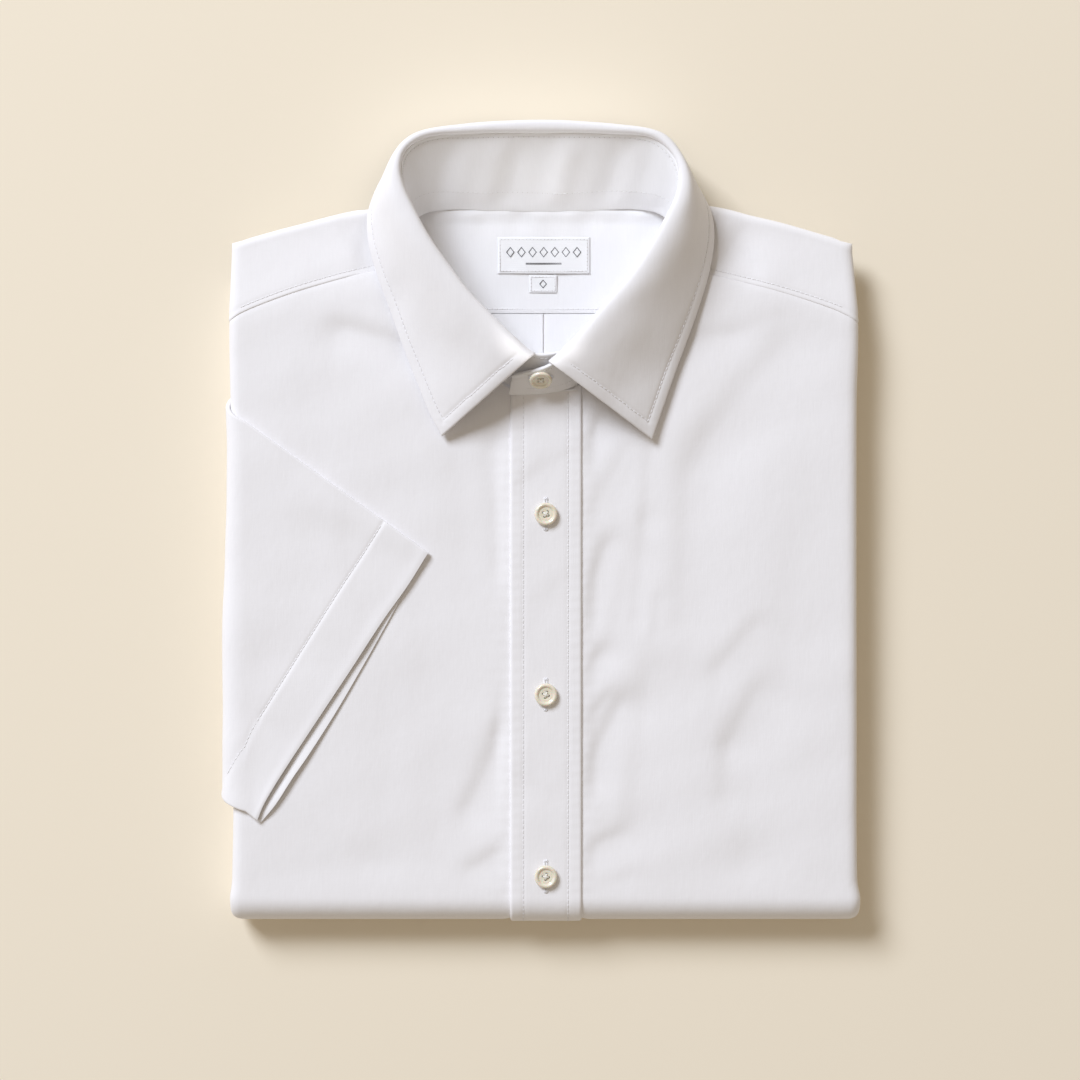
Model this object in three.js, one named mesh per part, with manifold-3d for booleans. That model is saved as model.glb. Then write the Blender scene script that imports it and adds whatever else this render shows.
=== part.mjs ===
// A folded short-sleeve shirt, lying on its back: millimetres, +X to the right as seen from above,
// +Y towards the collar, +Z up. The sides are folded behind, the lower half is folded under along
// the bottom edge, and one sleeve is brought round the edge onto the front.

import * as THREE from "three";
import { mergeVertices } from "three/addons/utils/BufferGeometryUtils.js";
import Module from "manifold-3d";

const wasm = await Module();
wasm.setup();

// ---- driving dimensions ----

const PLY = 1.2; // a panel's wall, one ply of shirting with its turnings
const SLEEVE_PLY = 1.0;
const STAND_PLY = 2.0; // two plies and an interlining
const LEAF_PLY = 1.7;
const LABEL_PLY = 1.0;
const SEAT = 0.3; // clearance between pieces
const FOLD_PLANE = 12; // height of the plane between the upper stack and the part folded under
const CHEST = 24; // height of the front
const SHOULDER_FALL = 3.5; // how much lower the shoulders are than the front
const SHOULDER_RUN = 45;
const SIDE_ROUND = 7; // how far in from its edge the side fold starts to turn
const SHOULDER_ROUND = 5;
const SQUARENESS = 0.8; // power on the folds' sine and cosine, 1 for a round fold
const HEM_AXIS_Y = -187; // line about which the bottom edge turns
const CORE_GAP = PLY + 0.75; // the hidden layers start this far inside the outer face
const UNDER_GAP = 1.8; // further room under the package, where the placket is pressed flush
const FADE = { hem: 20, placket: 8 }; // over which the troughs die out at the hem and the placket
const PRESSED = { from: 20, to: 160 }; // turn of the hem over which the placket is pressed flush

const PLACKET = { left: -15.6, right: 20.1, top: 69.5, underlap: 3 };
const PLACKET_OUT = SEAT + PLY;
const PLACKET_MIDDLE = (PLACKET.left + PLACKET.right) / 2;
const PLACKET_HALF = (PLACKET.right - PLACKET.left) / 2;
const BUTTON = { radius: 5.7, height: 2.6, hole: 0.8, holeReach: 1.45, x: 2.2 };
const BUTTON_ROWS = [5.2, -85, -175.8];
const NECK_FLOOR = 13.2; // top of the hidden layers inside the neck
const YOKE_BACK_SEAM_Y = 106.4;
const LABEL = { x: 1.1, y: 135.6, width: 46.5, length: 18.5 };
const SIZE_TAB = { x: 0.8, y: 121.2, width: 14, length: 9 };
const PLEAT = { x: 0.7, half: 1.4, depth: 0.6 };

// The two long edges of the package, from the bottom to the shoulder.
const EDGES = [
  { y: -199, left: -154.6, right: 158.6 },
  { y: -190, left: -156.6, right: 160.4 },
  { y: -178, left: -155.4, right: 158.6 },
  { y: -100, left: -154.4, right: 158.3 },
  { y: 20, left: -154.6, right: 158.2 },
  { y: 62, left: -156.2, right: 158.3 },
  { y: 102, left: -156.8, right: 159.0 },
  { y: 145, left: -155.4, right: 155.6 },
];

// The shoulder fold and the yoke's front seam, across the shirt.
const SHOULDERS = [
  { x: -157, fold: 141.4, seam: 102 },
  { x: -148, fold: 143.8, seam: 107.2 },
  { x: -120, fold: 151.6, seam: 117.6 },
  { x: -84, fold: 160, seam: 127.4 },
  { x: -60, fold: 161.4, seam: 132 },
  { x: 60, fold: 161.4, seam: 132 },
  { x: 84, fold: 160.4, seam: 125.6 },
  { x: 118, fold: 152.6, seam: 117 },
  { x: 148, fold: 144, seam: 107.2 },
  { x: 159, fold: 141.2, seam: 101.4 },
];

// The collar in stations from its button end, under the lap, round the back to its buttonhole end.
// seam is where the stand is sewn to the neck, top is the stand's upper edge, and edge is the
// leaf's outer edge; lap moves the stand out (+) or in (-) where its ends cross.
const COLLAR = [
  { seam: [16.7, 69.4, 27.4], top: [12.1, 85, 41], lap: -1 },
  { seam: [-3.7, 68, 27.2], top: [-3.2, 83.6, 42], edge: [-49.6, 44.1, 27.2], lap: -1 },
  { seam: [-13.2, 69.3, 26.9], top: [-14.5, 92.4, 43.5], edge: [-55.1, 54.1, 27], lap: -0.8 },
  { seam: [-23.2, 76.1, 25.8], top: [-25.8, 103.2, 44], edge: [-62.1, 71.1, 26.6], lap: 0 },
  { seam: [-35.7, 88.6, 25.3], top: [-36.9, 114.9, 44.5], edge: [-68.9, 88.6, 26.4], lap: 0 },
  { seam: [-48.2, 103.1, 25.2], top: [-47.2, 128.6, 44.8], edge: [-75.4, 107.1, 26.2], lap: 0 },
  { seam: [-58.7, 117.1, 25], top: [-56, 141.4, 45], edge: [-81.9, 125, 25.8], lap: 0 },
  { seam: [-65.7, 131.2, 24.3], top: [-63.4, 155.2, 44.5], edge: [-86.4, 142.1, 24.6], lap: 0 },
  { seam: [-67.6, 142.3, 23.1], top: [-68.7, 167.4, 43.5], edge: [-86.6, 154.6, 22.6], lap: 0 },
  { seam: [-65.8, 151.5, 21.5], top: [-70, 176.5, 42], edge: [-83.2, 167, 17], lap: 0 },
  { seam: [-59, 157.6, 18.5], top: [-67.4, 184.7, 40], edge: [-76, 181, 11], lap: 0 },
  { seam: [-46, 159.8, 16.5], top: [-57.6, 191.4, 38.5], edge: [-66.6, 192.8, 7.5], lap: 0 },
  { seam: [-25.9, 159.4, 15.9], top: [-32.4, 193.8, 37], edge: [-41.9, 200.6, 6], lap: 0 },
  { seam: [-0.2, 158.8, 15.8], top: [-0.3, 194.2, 36.5], edge: [-0.2, 201.4, 5.5], lap: 0 },
  { seam: [25.4, 159.4, 15.9], top: [31.9, 193.8, 37], edge: [41.9, 200.4, 6], lap: 0 },
  { seam: [47, 160, 16.5], top: [54.6, 191.4, 38.5], edge: [62.1, 193, 7.5], lap: 0 },
  { seam: [58.4, 158, 18.5], top: [64.4, 183.7, 40], edge: [71, 181, 11], lap: 0 },
  { seam: [65.6, 151.8, 21.5], top: [68.2, 174.5, 42], edge: [79.4, 167.4, 17], lap: 0 },
  { seam: [67.8, 142.8, 23.1], top: [67.2, 163.5, 43.5], edge: [84.8, 155, 22.6], lap: 0 },
  { seam: [66, 131.2, 24.3], top: [62.2, 151.8, 44.5], edge: [85.9, 142.1, 24.6], lap: 0 },
  { seam: [59.2, 117.1, 25], top: [53.8, 136.7, 45], edge: [83.1, 124.5, 25.8], lap: 0 },
  { seam: [49.2, 103.1, 25.2], top: [43.5, 121.5, 44.8], edge: [77.4, 105.6, 26.2], lap: 0 },
  { seam: [36.7, 89.1, 25.3], top: [32.2, 108.8, 44.5], edge: [71.1, 88.1, 26.4], lap: 0 },
  { seam: [24.2, 77.6, 25.8], top: [19.9, 94.8, 44], edge: [65.6, 73.1, 26.6], lap: 0 },
  { seam: [14.2, 70.6, 26.8], top: [10.6, 85.7, 43.5], edge: [60.6, 58.6, 27], lap: 0.7 },
  { seam: [5.2, 68.2, 27.4], top: [3.7, 79.7, 42], edge: [55.1, 42.6, 27.2], lap: 1 },
  { seam: [-16.2, 66.8, 27.6], top: [-14.1, 75, 35], lap: 1 },
];
const LEAF_FIRST = 1;
const LEAF_LAST = COLLAR.length - 2;
// The leaf's turn above the stand: where its crest is, and how long the curve runs straight on
// before it (lean, in) and after it (over, up to overMost); the fall ends with slack over its edge.
const ROLL = { out: 3.1, up: 3.4, lean: 2, in: 1.9, over: 2.6, overShare: 0.22, overMost: 10 };
const FALL = { share: 0.36, slack: 1.5 };

// The largest folds and dents of the front, as soft troughs.
const TROUGHS = [
  { x0: -72, y0: 90, x1: -104, y1: 99, width: 9, depth: 1.1 },
  { x0: -88, y0: 138, x1: -104, y1: 126, width: 6, depth: 1.0 },
  { x0: 86, y0: 146, x1: 104, y1: 130, width: 6, depth: 1.0 },
  { x0: 74, y0: 92, x1: 130, y1: 104, width: 9, depth: 0.9 },
  { x0: 113, y0: 62, x1: 64, y1: 0, width: 16, depth: 1.1 },
  { x0: 38, y0: 56, x1: 21, y1: 45, width: 5, depth: 0.8 },
  { x0: 46, y0: -8, x1: 24, y1: -48, width: 9, depth: 0.8 },
  { x0: 46, y0: -96, x1: 24, y1: -118, width: 8, depth: 0.7 },
  { x0: -36, y0: -120, x1: -18, y1: -148, width: 8, depth: 0.8 },
  { x0: 88, y0: -94, x1: 110, y1: -116, width: 10, depth: 0.7 },
  { x0: -34, y0: 34, x1: -20, y1: -38, width: 9, depth: 0.7 },
];

// The sleeve is a flattened tube: its cuff line lies on the front, and it runs back round the left
// edge into the fold there.
const SLEEVE = {
  // its two long edges: where the cuff is, where it meets the side fold, and where it ends round
  // the fold; lean is the way the under ply of the cuff is longer
  top: { cuff: [-56.5, -14], foldY: 52, endY: 66, lean: [0.8, -0.6] },
  low: { cuff: [-139.5, -143], foldY: -138.5, endY: -130, lean: [0.8, -0.6] },
  endTurn: -56,
  edgeHeight: 2.6,
  mouthHeight: 5.2,
  swellEnd: 0.8, // the mouth's height has died out at this share of the flat part
  lap: 3.2, // how far the under ply of the cuff shows past the upper
  bulge: { most: 3.4, fromY: 60, toY: -60 }, // how far it stands off the side fold, low down
};

// ---- small helpers ----

const radians = (degrees) => THREE.MathUtils.degToRad(degrees);
const { lerp, smoothstep, clamp } = THREE.MathUtils;
const vector = (list) => new THREE.Vector3(...list);

// A column of a table at a place between its rows, as a smooth curve through them.
function read(rows, key, column, at) {
  const place = clamp(at, rows[0][key], rows[rows.length - 1][key]);
  const last = rows.length - 2;
  const k = Math.min(Math.max(rows.findIndex((row) => row[key] >= place) - 1, 0), last);
  const slope = (i) => {
    const low = rows[Math.max(i - 1, 0)];
    const high = rows[Math.min(i + 1, rows.length - 1)];
    return (high[column] - low[column]) / (high[key] - low[key]);
  };
  const span = rows[k + 1][key] - rows[k][key];
  const t = (place - rows[k][key]) / span;
  const start = rows[k][column] * (1 + 2 * t) * (1 - t) ** 2;
  const end = rows[k + 1][column] * (3 - 2 * t) * t ** 2;
  const bend = slope(k) * t * (1 - t) ** 2 - slope(k + 1) * (1 - t) * t ** 2;
  return start + end + bend * span;
}

// Numbers from one end to the other, both ends in, count steps.
function steps(from, to, count) {
  return Array.from({ length: count + 1 }, (_, k) => lerp(from, to, k / count));
}

// A closed body from points and triangles, its faces turned outward.
function body(points, faces) {
  const positions = new Float32Array(points.flatMap((p) => [p.x, p.y, p.z]));
  const volume = faces.reduce((sum, [a, b, c]) => {
    return sum + points[a].dot(new THREE.Vector3().crossVectors(points[b], points[c]));
  }, 0);
  const turned = volume < 0 ? faces.map(([a, b, c]) => [a, c, b]) : faces;
  const geometry = new THREE.BufferGeometry();
  geometry.setAttribute("position", new THREE.BufferAttribute(positions, 3));
  geometry.setIndex(turned.flat());
  return geometry;
}

// A wall over a grid: place(i, j, layer) gives its outer (0) and inner (1) face, keep(i, j) says
// which cells are cloth, and a ring is a grid whose last column meets its first.
function wall({ columns, rows, place, keep = () => true, ring = false }) {
  const points = [];
  for (const layer of [0, 1])
    for (let j = 0; j < rows; j++)
      for (let i = 0; i < columns; i++) points.push(place(i, j, layer));
  const at = (i, j, layer) => (layer * rows + j) * columns + (i % columns);
  const cellsAcross = ring ? columns : columns - 1;
  const cloth = (i, j) => {
    const column = ring ? (i + columns) % columns : i;
    return column >= 0 && column < cellsAcross && j >= 0 && j < rows - 1 && keep(column, j);
  };
  const faces = [];
  const quad = (a, b, c, d) => faces.push([a, b, c], [a, c, d]);
  const rim = ([i, j], [k, l]) => quad(at(i, j, 0), at(i, j, 1), at(k, l, 1), at(k, l, 0));
  for (let j = 0; j < rows - 1; j++)
    for (let i = 0; i < cellsAcross; i++) {
      if (!cloth(i, j)) continue;
      quad(at(i, j, 0), at(i + 1, j, 0), at(i + 1, j + 1, 0), at(i, j + 1, 0));
      quad(at(i, j, 1), at(i, j + 1, 1), at(i + 1, j + 1, 1), at(i + 1, j, 1));
      if (!cloth(i, j - 1)) rim([i, j], [i + 1, j]);
      if (!cloth(i + 1, j)) rim([i + 1, j], [i + 1, j + 1]);
      if (!cloth(i, j + 1)) rim([i + 1, j + 1], [i, j + 1]);
      if (!cloth(i - 1, j)) rim([i, j + 1], [i, j]);
    }
  return body(points, faces);
}

function toManifold(geometry) {
  const bare = geometry.clone();
  bare.deleteAttribute("normal");
  bare.deleteAttribute("uv");
  const merged = mergeVertices(bare, 1e-4);
  return new wasm.Manifold(
    new wasm.Mesh({
      numProp: 3,
      vertProperties: new Float32Array(merged.attributes.position.array),
      triVerts: new Uint32Array(merged.index.array),
    }),
  );
}

function toGeometry(made) {
  const mesh = made.getMesh();
  const geometry = new THREE.BufferGeometry();
  geometry.setAttribute("position", new THREE.BufferAttribute(mesh.vertProperties, 3));
  geometry.setIndex(new THREE.BufferAttribute(mesh.triVerts, 1));
  return geometry;
}

// ---- the package's outer face ----

const rounded = (angle) => {
  const power = (value) => Math.sign(value) * Math.abs(value) ** SQUARENESS;
  return { run: power(Math.cos(angle)), rise: power(Math.sin(angle)) };
};

const edgeX = (side, y) => read(EDGES, "y", side < 0 ? "left" : "right", y);
const flatEnd = (side, y) => edgeX(side, y) - side * SIDE_ROUND;
const shoulderFold = (x) => read(SHOULDERS, "x", "fold", x);
const yokeSeam = (x) => read(SHOULDERS, "x", "seam", x);

// How far the face lies below the chest at a place on the front.
function dip(x, y, spread) {
  const beside = Math.abs(x - PLACKET_MIDDLE) - PLACKET_HALF;
  const fade = smoothstep(y - HEM_AXIS_Y, 0, FADE.hem) * smoothstep(beside, 0, FADE.placket);
  const fall = SHOULDER_FALL * (1 - smoothstep(shoulderFold(x) - y, 0, SHOULDER_RUN));
  const troughs = TROUGHS.reduce((sum, { x0, y0, x1, y1, width, depth }) => {
    const [alongX, alongY] = [x1 - x0, y1 - y0];
    const share = ((x - x0) * alongX + (y - y0) * alongY) / (alongX ** 2 + alongY ** 2);
    const near = clamp(share, 0, 1);
    const away = Math.hypot(x - x0 - near * alongX, y - y0 - near * alongY);
    return sum + depth * Math.exp(-((away / width / spread) ** 2));
  }, 0);
  return fall + troughs * fade;
}

// The placket's thickness is taken up by the layers under it as it turns under the package.
const pressed = (angle) => PLACKET_OUT * smoothstep(angle, PRESSED.from, PRESSED.to);

// A point of the outer face, moved out by `out`. The column is {x, side, turn}: x on the flat, and
// turn is 90 there and less round a side fold. The row is {y, hem} or {y, under: true} or
// {y, shoulder}: hem is the angle turned round the bottom edge, shoulder that over the shoulder.
// spread widens the troughs, for the layers beneath.
function face({ x, side = 1, turn = 90 }, { y, hem, under, shoulder }, out, spread = 1) {
  const level = under || hem !== undefined ? CHEST : CHEST - dip(x, y, spread);
  const half = (level - FOLD_PLANE + SEAT) / 2;
  const { run, rise } = rounded(radians(turn));
  const across = x + side * (SIDE_ROUND + out) * run;
  const radius = half + (half - SEAT + out) * rise;
  if (under) return new THREE.Vector3(across, y, FOLD_PLANE - radius);
  if (hem !== undefined) {
    const turned = radians(hem);
    return new THREE.Vector3(
      across,
      y - radius * Math.sin(turned),
      FOLD_PLANE + radius * Math.cos(turned),
    );
  }
  if (shoulder === undefined) return new THREE.Vector3(across, y, FOLD_PLANE + radius);
  const over = rounded(radians(shoulder));
  return new THREE.Vector3(
    across,
    y + (SHOULDER_ROUND + out) * over.run,
    FOLD_PLANE + half + (half - SEAT + out) * rise * over.rise,
  );
}

const SIDE_TURNS = [-75, -48, -22, 0, 24, 46, 68];
const sideColumns = (side) => {
  const made = SIDE_TURNS.map((turn) => ({ side, turn, at: (y) => flatEnd(side, y) }));
  return side < 0 ? made : made.reverse();
};
const flatColumn = (x) => ({ side: 1, turn: 90, at: () => x });
// The lines on which the fronts and the yoke's strips meet, from the side fold inwards.
const STRIP_X = [139, 127, 115, 103, 91, 80, 69];
const CHEST_X = [57, 45, 33];
const sideFlats = (side, places) => [
  { side, turn: 90, at: (y) => flatEnd(side, y) },
  ...places.map((x) => flatColumn(side * x)),
];
const columnAt = (column, y) => ({ x: column.at(y), side: column.side, turn: column.turn });
// Where a column stands for finding its seams: past a side fold's middle, the package's edge.
const reachX = ({ side, turn, at }) => {
  const { run } = rounded(radians(Math.max(turn, 0)));
  return at(YOKE_BACK_SEAM_Y) + side * SIDE_ROUND * run;
};

// ---- front panels and placket ----

const UNDER_ROWS = 4;
const HEM_TURNS = [180, 152, 124, 96, 68, 42, 20];
const UNDER_INSET = 19; // the lower end of the fronts stops this far short of the shoulder
const TOP_ROWS = 19;

const FRONT_NECK_Y = 143; // the stand is sewn to the fronts up to here, and to the yoke beyond
const neckRows = (side) => {
  const fronts = COLLAR.slice(LEAF_FIRST, LEAF_LAST + 1).filter(({ seam: [x, y] }) => {
    return x * side > 0 && y < FRONT_NECK_Y;
  });
  const points = fronts.map(({ seam: [x, y] }) => ({ x, y }));
  return points.sort((a, b) => a.x - b.x);
};
const NECK_EDGE = { left: neckRows(-1), right: neckRows(1) };

// The front's upper edge: the yoke seam, and inside the neck the line where the stand is sewn.
function frontTop(x) {
  const { left, right } = NECK_EDGE;
  const side = x < 0 ? left : right;
  const seam = yokeSeam(x) - SEAT / 2;
  if (x < left[0].x || x > right[right.length - 1].x) return seam;
  return Math.min(seam, read(side, "x", "y", x));
}

// Rows of a front piece from its lower end, under the package, up to its top line.
function frontRow(column, j, topLine) {
  const farEnd = shoulderFold(reachX(column)) - UNDER_INSET;
  if (j < UNDER_ROWS) return { y: lerp(farEnd, HEM_AXIS_Y, j / UNDER_ROWS), under: true };
  const turn = j - UNDER_ROWS;
  if (turn < HEM_TURNS.length) return { y: HEM_AXIS_Y, hem: HEM_TURNS[turn] };
  const share = (turn - HEM_TURNS.length) / TOP_ROWS;
  return { y: lerp(HEM_AXIS_Y, topLine(reachX(column)), share) };
}
const FRONT_ROWS = UNDER_ROWS + HEM_TURNS.length + TOP_ROWS + 1;

const PRESS_RAMP = 3.2; // width over which a front steps down beside the pressed placket
function pressedFront(x, row) {
  const turned = row.under ? 180 : row.hem || 0;
  const beside = Math.abs(x - PLACKET_MIDDLE) - PLACKET_HALF - SEAT;
  return pressed(turned) * (1 - smoothstep(beside, 0, PRESS_RAMP));
}

function frontPanel(columns) {
  return wall({
    columns: columns.length,
    rows: FRONT_ROWS,
    place: (i, j, layer) => {
      const row = frontRow(columns[i], j, frontTop);
      const column = columnAt(columns[i], row.y);
      return face(column, row, -layer * PLY - pressedFront(column.x, row));
    },
  });
}

function frontRight() {
  const besideLeft = PLACKET.left - SEAT;
  return frontPanel([
    ...sideColumns(-1),
    ...sideFlats(-1, [...STRIP_X, ...CHEST_X]),
    flatColumn(besideLeft - PRESS_RAMP),
    flatColumn(besideLeft),
    flatColumn(1),
    flatColumn(PLACKET.right - PLACKET.underlap - SEAT),
  ]);
}

function frontLeft() {
  const besideRight = PLACKET.right + SEAT;
  return frontPanel([
    flatColumn(PLACKET.right - PLACKET.underlap),
    flatColumn(besideRight),
    flatColumn(besideRight + PRESS_RAMP),
    ...sideFlats(1, [...STRIP_X, ...CHEST_X]).reverse(),
    ...sideColumns(1),
  ]);
}

function placket() {
  const columns = steps(PLACKET.left, PLACKET.right, 4).map(flatColumn);
  return wall({
    columns: columns.length,
    rows: FRONT_ROWS,
    place: (i, j, layer) => {
      const row = frontRow(columns[i], j, () => PLACKET.top);
      const column = columnAt(columns[i], row.y);
      return face(column, row, PLACKET_OUT - layer * PLY - pressedFront(PLACKET_MIDDLE, row));
    },
  });
}

// ---- yoke and back ----

const SHOULDER_TURNS = [70, 45, 20, 0, -25, -50, -80];
const NECK_BAND_TURN = -50; // behind the neck the yoke is only the fold's lower part, up to here
const YOKE_FLAT_ROWS = 4;
const NECK_HALF = STRIP_X[STRIP_X.length - 1]; // inner end of the yoke's strips

function yokeOuter() {
  const columns = [
    ...sideColumns(-1),
    ...sideFlats(-1, STRIP_X),
    ...steps(-NECK_HALF, NECK_HALF, 6).slice(1, -1).map(flatColumn),
    ...sideFlats(1, STRIP_X).reverse(),
    ...sideColumns(1),
  ];
  const rows = YOKE_FLAT_ROWS + SHOULDER_TURNS.length;
  const rowOf = (column, j) => {
    const reach = reachX(column);
    const from = yokeSeam(reach) + SEAT / 2;
    const to = shoulderFold(reach) - SHOULDER_ROUND;
    if (j < YOKE_FLAT_ROWS) return { y: lerp(from, to, j / (YOKE_FLAT_ROWS - 1)) };
    return { y: to, shoulder: SHOULDER_TURNS[j - YOKE_FLAT_ROWS] };
  };
  return wall({
    columns: columns.length,
    rows,
    place: (i, j, layer) => {
      const row = rowOf(columns[i], j);
      return face(columnAt(columns[i], row.y), row, -layer * PLY);
    },
    keep: (i, j) => {
      const turn = Math.min(columns[i].turn, columns[i + 1].turn);
      const shoulder = j < YOKE_FLAT_ROWS - 1 ? 90 : SHOULDER_TURNS[j + 1 - YOKE_FLAT_ROWS];
      const middle = (columns[i].at(0) + columns[i + 1].at(0)) / 2;
      if (Math.abs(middle) < NECK_HALF) return shoulder === NECK_BAND_TURN;
      if (shoulder < 0) return turn >= SIDE_TURNS[5];
      return turn >= (shoulder === 90 ? SIDE_TURNS[2] : 0);
    },
  });
}

// The neck's hollow: room is how far it is cut outside the stand's seam, and the pieces on its
// floor keep inset inside its walls. Above shoulderY its walls stop, and it is open to the back.
const NECK = { centreY: 115, room: 4, inset: 0.8, sideX: 8, sheetY: 143, shoulderY: 146, endY: 180 };
const SHEET = { low: 72, high: 157.6, dish: 1.2 }; // reach of the pieces on the neck's floor

const neckOutline = (room) => {
  return COLLAR.slice(2, -2).map(({ seam: [x, y] }) => {
    const away = new THREE.Vector2(x, y - NECK.centreY);
    away.setLength(away.length() + room);
    return new THREE.Vector2(away.x, away.y + NECK.centreY);
  });
};

function neckWidthAt(y) {
  const points = neckOutline(NECK.room - NECK.inset).filter((p) => p.y < NECK.sheetY);
  const half = (side) => {
    const rows = points.filter((p) => p.x * side > NECK.sideX).map((p) => ({ x: p.x, y: p.y }));
    rows.sort((a, b) => a.y - b.y);
    return clamp(read(rows, "y", "x", y), 1 - NECK_HALF, NECK_HALF - 1);
  };
  return { left: half(-1), right: half(1) };
}

function neckSheet(yFrom, yTo, rows, columnShares, lower) {
  return wall({
    columns: columnShares.length,
    rows: rows + 1,
    place: (i, j, layer) => {
      const share = columnShares[i];
      const from = yFrom(share);
      const y = lerp(from, yTo(share), j / rows);
      const { left, right } = neckWidthAt(y);
      const x = lerp(left, right, (share + 1) / 2);
      const level = NECK_FLOOR + SEAT + PLY * (1 - layer);
      return new THREE.Vector3(x, y, level - (layer ? 0 : lower(x)));
    },
  });
}

function yokeInner() {
  const backEdge = (share) => SHEET.high + SHEET.dish * share ** 2;
  const plain = () => 0;
  const from = () => YOKE_BACK_SEAM_Y + SEAT / 2;
  return neckSheet(from, backEdge, 6, steps(-1, 1, 10), plain);
}

function back() {
  const groove = (x) => {
    const away = Math.abs(x - PLEAT.x);
    return PLEAT.depth * (1 - smoothstep(away, 0, PLEAT.half));
  };
  const shares = [-1, -0.6, -0.3, -0.06, -0.02, 0.012, 0.045, 0.085, 0.3, 0.6, 1];
  const to = () => YOKE_BACK_SEAM_Y - SEAT / 2;
  return neckSheet(() => SHEET.low, to, 6, shares, groove);
}

// ---- hidden layers ----

const CORE_TURNS = [-86, -48, -16, 24, 60];
const CORE_FLATS = 10;
const CORE_ROWS = 18;
const CORE_SPREAD = 1.5;
const LAYER_GROOVES = [3.4, 5.6, 7.8, 10]; // heights of the gaps between the plies at the end
const GROOVE = { height: 0.5, depth: 2.6, lean: 0.55, reach: 170, endY: 190 };
const CORE_END = { back: 10, slope: 4 }; // its end under the shoulder, and how far that slants
const CORE_END_TURNS = [68, 42, 20, 8];
const CORE_HEM_TURNS = [76, 56, 36, 16];

function coreSolid() {
  const sides = (side) => {
    return CORE_TURNS.map((turn) => ({ side, turn, at: (y) => flatEnd(side, y) }));
  };
  const flats = steps(0, 1, CORE_FLATS).map((share) => ({
    side: 1,
    turn: 90,
    at: (y) => lerp(flatEnd(-1, y), flatEnd(1, y), share),
  }));
  const across = [...sides(-1), ...flats, ...sides(1).reverse()];
  const rowPairs = (reach) => {
    const fold = shoulderFold(reach) - SHOULDER_ROUND;
    const lowEnd = fold - CORE_END.back;
    const hem = CORE_HEM_TURNS.map((angle) => [
      { y: HEM_AXIS_Y, hem: angle },
      { y: HEM_AXIS_Y, hem: 180 - angle },
    ]);
    const straight = steps(0, 1, CORE_ROWS).map((share) => [
      { y: lerp(HEM_AXIS_Y, fold, share) },
      { y: lerp(HEM_AXIS_Y, lowEnd - CORE_END.slope, share), under: true },
    ]);
    const end = CORE_END_TURNS.map((angle, k) => [
      { y: fold, shoulder: angle },
      { y: lowEnd - CORE_END.slope + k + 1, under: true },
    ]);
    return [...hem, ...straight, ...end];
  };
  const points = [];
  const inset = (row) => {
    const turned = row.under ? 180 : row.hem || 0;
    return -CORE_GAP - UNDER_GAP * smoothstep(turned, PRESSED.from, PRESSED.to);
  };
  const count = across.length;
  const rows = rowPairs(0).length;
  for (let j = 0; j < rows; j++) {
    const ring = across.map((column) => {
      const [upper, lower] = rowPairs(reachX(column))[j];
      return [
        face(columnAt(column, upper.y), upper, inset(upper), CORE_SPREAD),
        face(columnAt(column, lower.y), lower, inset(lower), CORE_SPREAD),
      ];
    });
    points.push(...ring.map(([upper]) => upper), ...ring.map(([, lower]) => lower).reverse());
  }
  const size = 2 * count;
  const faces = [];
  const quad = (a, b, c, d) => faces.push([a, b, c], [a, c, d]);
  for (let j = 0; j < rows - 1; j++)
    for (let i = 0; i < size; i++) {
      const next = (i + 1) % size;
      quad(j * size + i, j * size + next, (j + 1) * size + next, (j + 1) * size + i);
    }
  const last = (rows - 1) * size;
  for (let i = 0; i < count - 1; i++) {
    const under = size - 1 - i;
    quad(i, under, under - 1, i + 1);
    quad(last + i, last + i + 1, last + under - 1, last + under);
  }
  return body(points, faces);
}

function coreLayers() {
  const outline = neckOutline(NECK.room).filter((p) => p.y < NECK.shoulderY);
  const half = NECK_HALF + PLY + SEAT;
  const hollow = new THREE.Shape([
    ...outline.filter((p) => p.x < 0),
    new THREE.Vector2(-half, NECK.endY),
    new THREE.Vector2(half, NECK.endY),
    ...outline.filter((p) => p.x > 0),
  ]);
  const basin = new THREE.ExtrudeGeometry(hollow, { depth: CHEST, bevelEnabled: false });
  basin.translate(0, 0, NECK_FLOOR);
  let made = toManifold(coreSolid()).subtract(toManifold(basin));
  const endLine = steps(-GROOVE.reach, GROOVE.reach, 17).map((x) => {
    const inner = shoulderFold(x) - SHOULDER_ROUND - CORE_END.back - GROOVE.depth;
    return new THREE.Vector2(x, inner);
  });
  const corners = [GROOVE.reach, -GROOVE.reach].map((x) => new THREE.Vector2(x, GROOVE.endY));
  for (const height of LAYER_GROOVES) {
    const lean = height * GROOVE.lean;
    const line = endLine.map((p) => new THREE.Vector2(p.x, p.y + lean));
    const strip = new THREE.Shape([...line, ...corners]);
    const groove = new THREE.ExtrudeGeometry(strip, { depth: GROOVE.height, bevelEnabled: false });
    groove.translate(0, 0, height);
    made = made.subtract(toManifold(groove));
  }
  return toGeometry(made);
}

// ---- collar ----

const collarCurve = (key, first = 0, last = COLLAR.length - 1) => {
  const points = COLLAR.slice(first, last + 1).map((station) => vector(station[key]));
  const curve = new THREE.CatmullRomCurve3(points, false, "centripetal");
  return (station) => curve.getPoint(clamp((station - first) / (last - first), 0, 1));
};
const seamAt = collarCurve("seam");
const topAt = collarCurve("top");
const edgeAt = collarCurve("edge", LEAF_FIRST, LEAF_LAST);
const lapAt = (station) => {
  const rows = COLLAR.map(({ lap }, index) => ({ index, lap }));
  return read(rows, "index", "lap", station);
};

const STATION_STEP = 0.05; // between the places a slope is taken from
const ALONG_STEP = 0.02;
const LAP_SHARE = 0.55; // part of its thickness by which each end of the stand moves at the lap

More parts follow.
